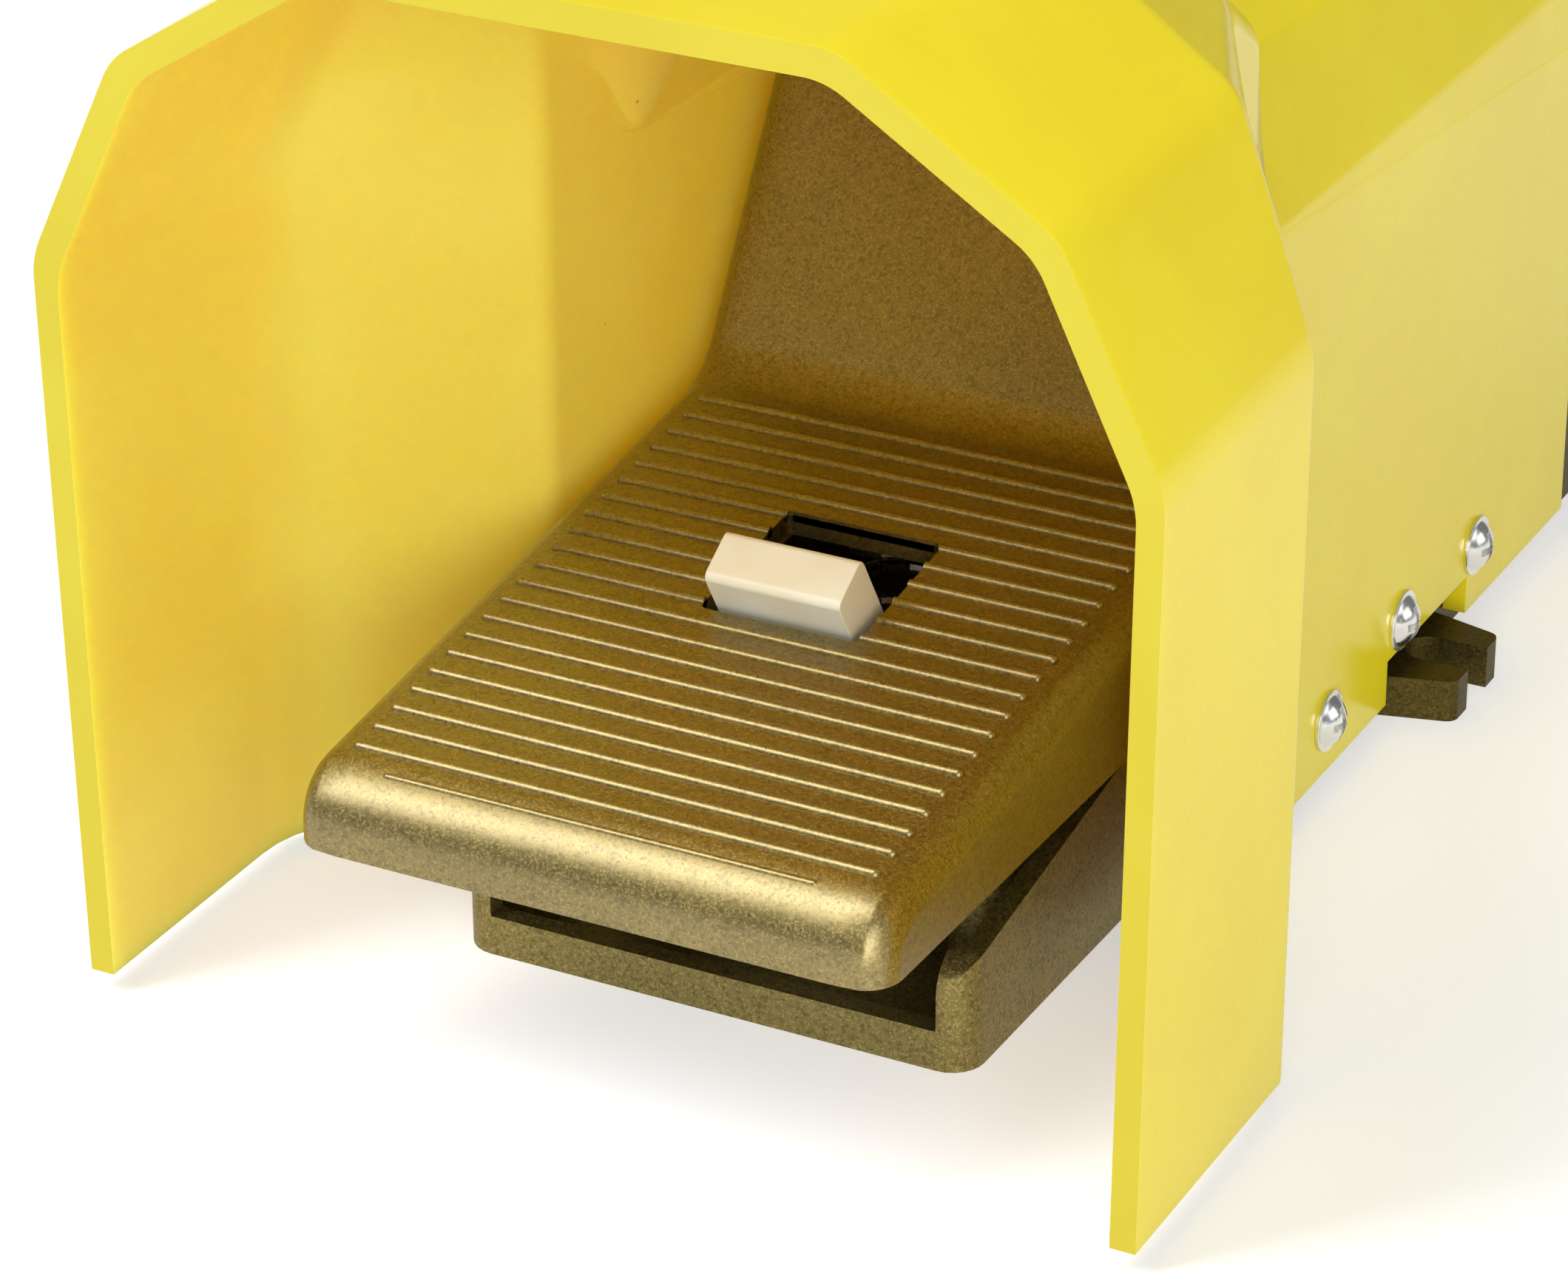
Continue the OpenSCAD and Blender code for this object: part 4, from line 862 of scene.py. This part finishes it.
def thread(x, way, y, z, v, steps=40):
    """Ridge that winds into a port along x, with tapered ends"""
    count = int(v.thread_length / v.thread_pitch * steps)
    # Each line's distance along the axis as a share of the pitch, and whether it is the ridge's crest
    profile = ((-0.42, False), (-0.06, True), (0.06, True), (0.42, False))
    lines, sunk = len(profile), 0.03 * MM
    verts, faces = [], []
    for i in range(count + 1):
        turn, along = 2 * math.pi * i / steps, v.thread_pitch * i / steps
        height = min(1.0, i / steps, (count - i) / steps) * v.thread_depth
        for share, crest in profile:
            r = v.port_radius - height if crest else v.port_radius + sunk
            verts.append((x + way * (along + share * v.thread_pitch),
                          y + r * math.cos(turn), z + r * math.sin(turn)))
    for i in range(count):
        for k in range(lines - 1):
            a = i * lines + k
            faces.append((a, a + 1, a + lines + 1, a + lines))
    ridge = mesh_object("thread", verts, faces)
    ridge.data.set_sharp_from_angle(angle=math.radians(30))
    return ridge


class MakeValve(Step):
    """Round the valve's block and caps and wind the threads in its ports"""
    bl_idname = "foot_pedal.valve"
    bl_label = "Valve"

    def make(self, context):
        v = context.scene.valve_settings
        anodised = bright_metal("valve_anodised", (0.74, 0.75, 0.76), rough=0.34, streak=(0.3, 3.0, 0.3),
                                depth=0.02)
        cap = cast_metal("cap_casting", (0.36, 0.37, 0.39), grain_mm=0.5, metal=0.7, rough=0.5)
        dress(softened_copy("valve_body", "valve_block", 0.4), BASE_BODY, "valve", anodised, "valve_body")
        low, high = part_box("valve_body")
        axis_z = sum(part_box("spool")[i].z for i in (0, 1)) / 2
        # Three ports on the right, and two on the left between them
        ports = [(1, v.port_y + i * v.port_pitch) for i in range(3)]
        ports += [(-1, v.port_y + (i + 0.5) * v.port_pitch) for i in range(2)]
        lead_in = 1.2 * MM
        turns = []
        for side, y in ports:
            face = high.x if side > 0 else low.x
            turns.append(thread(face - side * lead_in, -side, MOUTH_Y + y, axis_z, v))
        dress(joined("port_threads", turns), BASE_BODY, "valve", anodised)
        for node in ("front_cap", "rear_cap"):
            dress(softened_copy(node, node + "_casting", 0.6), BASE_BODY, "cap", cap, node)


class FinishSmallParts(Step):
    """Give every small part its own finish"""
    bl_idname = "foot_pedal.small_parts"
    bl_label = "Small parts"

    def make(self, context):
        paint(bright_metal("pin_steel", (0.70, 0.70, 0.70), rough=0.22, streak=(0.2, 1.0, 1.0)),
              "pivot_pin", "lock_pin", "drive_pin", "spool")
        paint(bright_metal("clip_steel", (0.42, 0.42, 0.44), rough=0.3),
              "drive_clips", "valve_screws", "cap_screws")
        paint(bright_metal("strike_steel", (0.66, 0.67, 0.68), rough=0.3, streak=(1.0, 3.0, 0.3)),
              "lock_strike", "strike_screws")
        paint(black_rubber("buffer_rubber"),
              "press_buffers", "rest_buffers", "spool_seals", "rod_wiper", "cap_gaskets")
        paint(cream_nylon("bush_nylon", (0.90, 0.88, 0.80)), "pivot_bushes")


def travel(joint, low):
    """How far a joint moves the end of a spring, where it moves most; low is the spring's lowest corner"""
    if joint["type"] == "slide":
        return joint["range_m"][1]
    return (joint["pos_m"][1] - low.y) * math.sin(math.radians(joint["range_deg"][1]))


class MakeSprings(Step):
    """Give the springs steel, and make a piece of its own for each spring that a joint moves"""
    bl_idname = "foot_pedal.springs"
    bl_label = "Springs"

    def make(self, context):
        steel = bright_metal("spring_steel", (0.56, 0.57, 0.60), rough=0.25)
        paint(steel, "lock_spring")
        for joint in frame["joints"]:
            for spring in joint.get("deforming_nodes", []):
                node, letter = spring["node"], spring["mode"][-1]
                low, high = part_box(node)
                i = "xyz".index(letter)
                axis, anchor = Vector((0, 0, 0)), (low + high) / 2
                axis[i], anchor[i] = 1, spring[f"fixed_end_{letter}_m"]
                reach = max(high[i] - anchor[i], anchor[i] - low[i])
                piece = dress(copy_of(node, node + "_coil"), BASE_BODY, "spring", steel, node)
                1 - (travel(joint, low) + SPRING_SLACK) / reach
                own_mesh(piece)


# ---------------------------------------------------------------- stage

def seen_white(name, rgb, strength):
    """Surface that the camera and reflections see as plain white, and that still takes shadows"""
    s = Shader(name)
    grain = s.noise(40, 2)
    s.set(Base_Color=s.mix(grain, rgb, shade(rgb, 0.985)), Roughness=0.9)
    s.set(Emission_Color=(1.0, 1.0, 1.0))
    rays = s.tree.nodes.new("ShaderNodeLightPath").outputs
    seen = Value(s, rays["Is Camera Ray"])
    for kind in ("Is Glossy Ray", "Is Transmission Ray"):
        seen = seen.math("MAXIMUM", Value(s, rays[kind]))
    s.set(Emission_Strength=seen * strength)
    return s.material


class MakeStage(Step):
    """Set the floor, the camera, the lamps and the sky"""
    bl_idname = "foot_pedal.stage"
    bl_label = "Stage"

    def make(self, context):
        t = context.scene.stage_settings
        scene = context.scene
        scene.view_settings.view_transform = "Standard"
        half_size, gap = 6, 0.02 * MM
        corners = [(x * half_size, y * half_size, -gap) for x, y in ((-1, -1), (1, -1), (1, 1), (-1, 1))]
        white = seen_white("floor_white", (0.66, 0.66, 0.66), 0.5)
        floor = mesh_object("floor", corners, [(0, 1, 2, 3)], [white], rounded_look=False)

        az, el = t.azimuth, t.elevation
        back = Vector((math.sin(az) * math.cos(el), -math.cos(az) * math.cos(el), math.sin(el)))
        right = Vector((math.cos(az), math.sin(az), 0))
        up = back.cross(right)
        c, s = math.cos(t.roll), math.sin(t.roll)
        right, up = right * c + up * s, up * c - right * s
        camera = bpy.data.objects.new("camera", bpy.data.cameras.new("camera"))
        scene.collection.objects.link(camera)
        turn = Matrix((right, up, back)).transposed().to_4x4()
        place = Vector(t.target) + Vector((0, MOUTH_Y, 0)) + back * t.distance
        camera.matrix_world = Matrix.Translation(place) @ turn
        camera.data.sensor_width, camera.data.lens = 36, t.lens
        camera.data.shift_x, camera.data.shift_y = t.shift_x, t.shift_y
        camera.data.clip_start, camera.data.clip_end = 0.01, 50
        scene.camera = camera

        def lamp(name, target, way, distance, size, power):
            """Rectangular lamp at a distance from its target, which it faces"""
            data = bpy.data.lights.new(name, "AREA")
            data.shape, data.size, data.size_y, data.energy = "RECTANGLE", *size, power
            obj = bpy.data.objects.new(name, data)
            scene.collection.objects.link(obj)
            obj.location = target + Vector(way) * distance
            obj.rotation_mode = "QUATERNION"
            obj.rotation_quaternion = (target - obj.location).to_track_quat("-Z", "Y")

        nose, middle = Vector((0, MOUTH_Y, 0.035)), Vector((0, 0, 0.05))
        lamp("key", nose, (-0.42, -0.43, 0.80), 1.2, (0.35, 1.0), t.key_power)
        lamp("front", nose, (0.55, -0.79, 0.27), 1.4, (1.0, 0.9), t.front_power)
        for side in (-1, 1):
            lamp("side", middle, (side * 0.92, 0.1, 0.38), 1.3, (0.9, 0.7), t.side_power)

        scene.world = bpy.data.worlds.new("sky")
        scene.world.use_nodes = True
        sky = scene.world.node_tree.nodes["Background"].inputs
        sky["Strength"].default_value = t.fill
        sky["Color"].default_value = (1.0, 1.0, 1.0, 1.0)


STEPS = (MakeStage, MakeGuard, MakePedal, MakeBase, MakeLever, MakeGuardScrews, MakeValve, FinishSmallParts,
         MakeSprings)
SETTINGS = {"guard_settings": GuardSettings, "pedal_settings": PedalSettings, "valve_settings": ValveSettings,
            "stage_settings": StageSettings}


class FootPedalPanel(bpy.types.Panel):
    """Lists the settings and the steps"""
    bl_idname = "VIEW3D_PT_foot_pedal"
    bl_label = "Foot Pedal Valve"
    bl_space_type = "VIEW_3D"
    bl_region_type = "UI"
    bl_category = "Foot Pedal"

    def draw(self, context):
        for name, group in SETTINGS.items():
            box = self.layout.box()
            for key in group.__annotations__:
                box.prop(getattr(context.scene, name), key)
        for step in STEPS:
            self.layout.operator(step.bl_idname)


def register():
    for cls in (*SETTINGS.values(), *STEPS, FootPedalPanel):
        bpy.utils.register_class(cls)
    for name, group in SETTINGS.items():
        setattr(bpy.types.Scene, name, PointerProperty(type=group))


def unregister():
    for name in SETTINGS:
        delattr(bpy.types.Scene, name)
    for cls in reversed((*SETTINGS.values(), *STEPS, FootPedalPanel)):
        bpy.utils.unregister_class(cls)


def main():
    register()
    for step in STEPS:
        group, name = step.bl_idname.split(".")
        getattr(getattr(bpy.ops, group), name)()


if __name__ == "__main__":
    main()
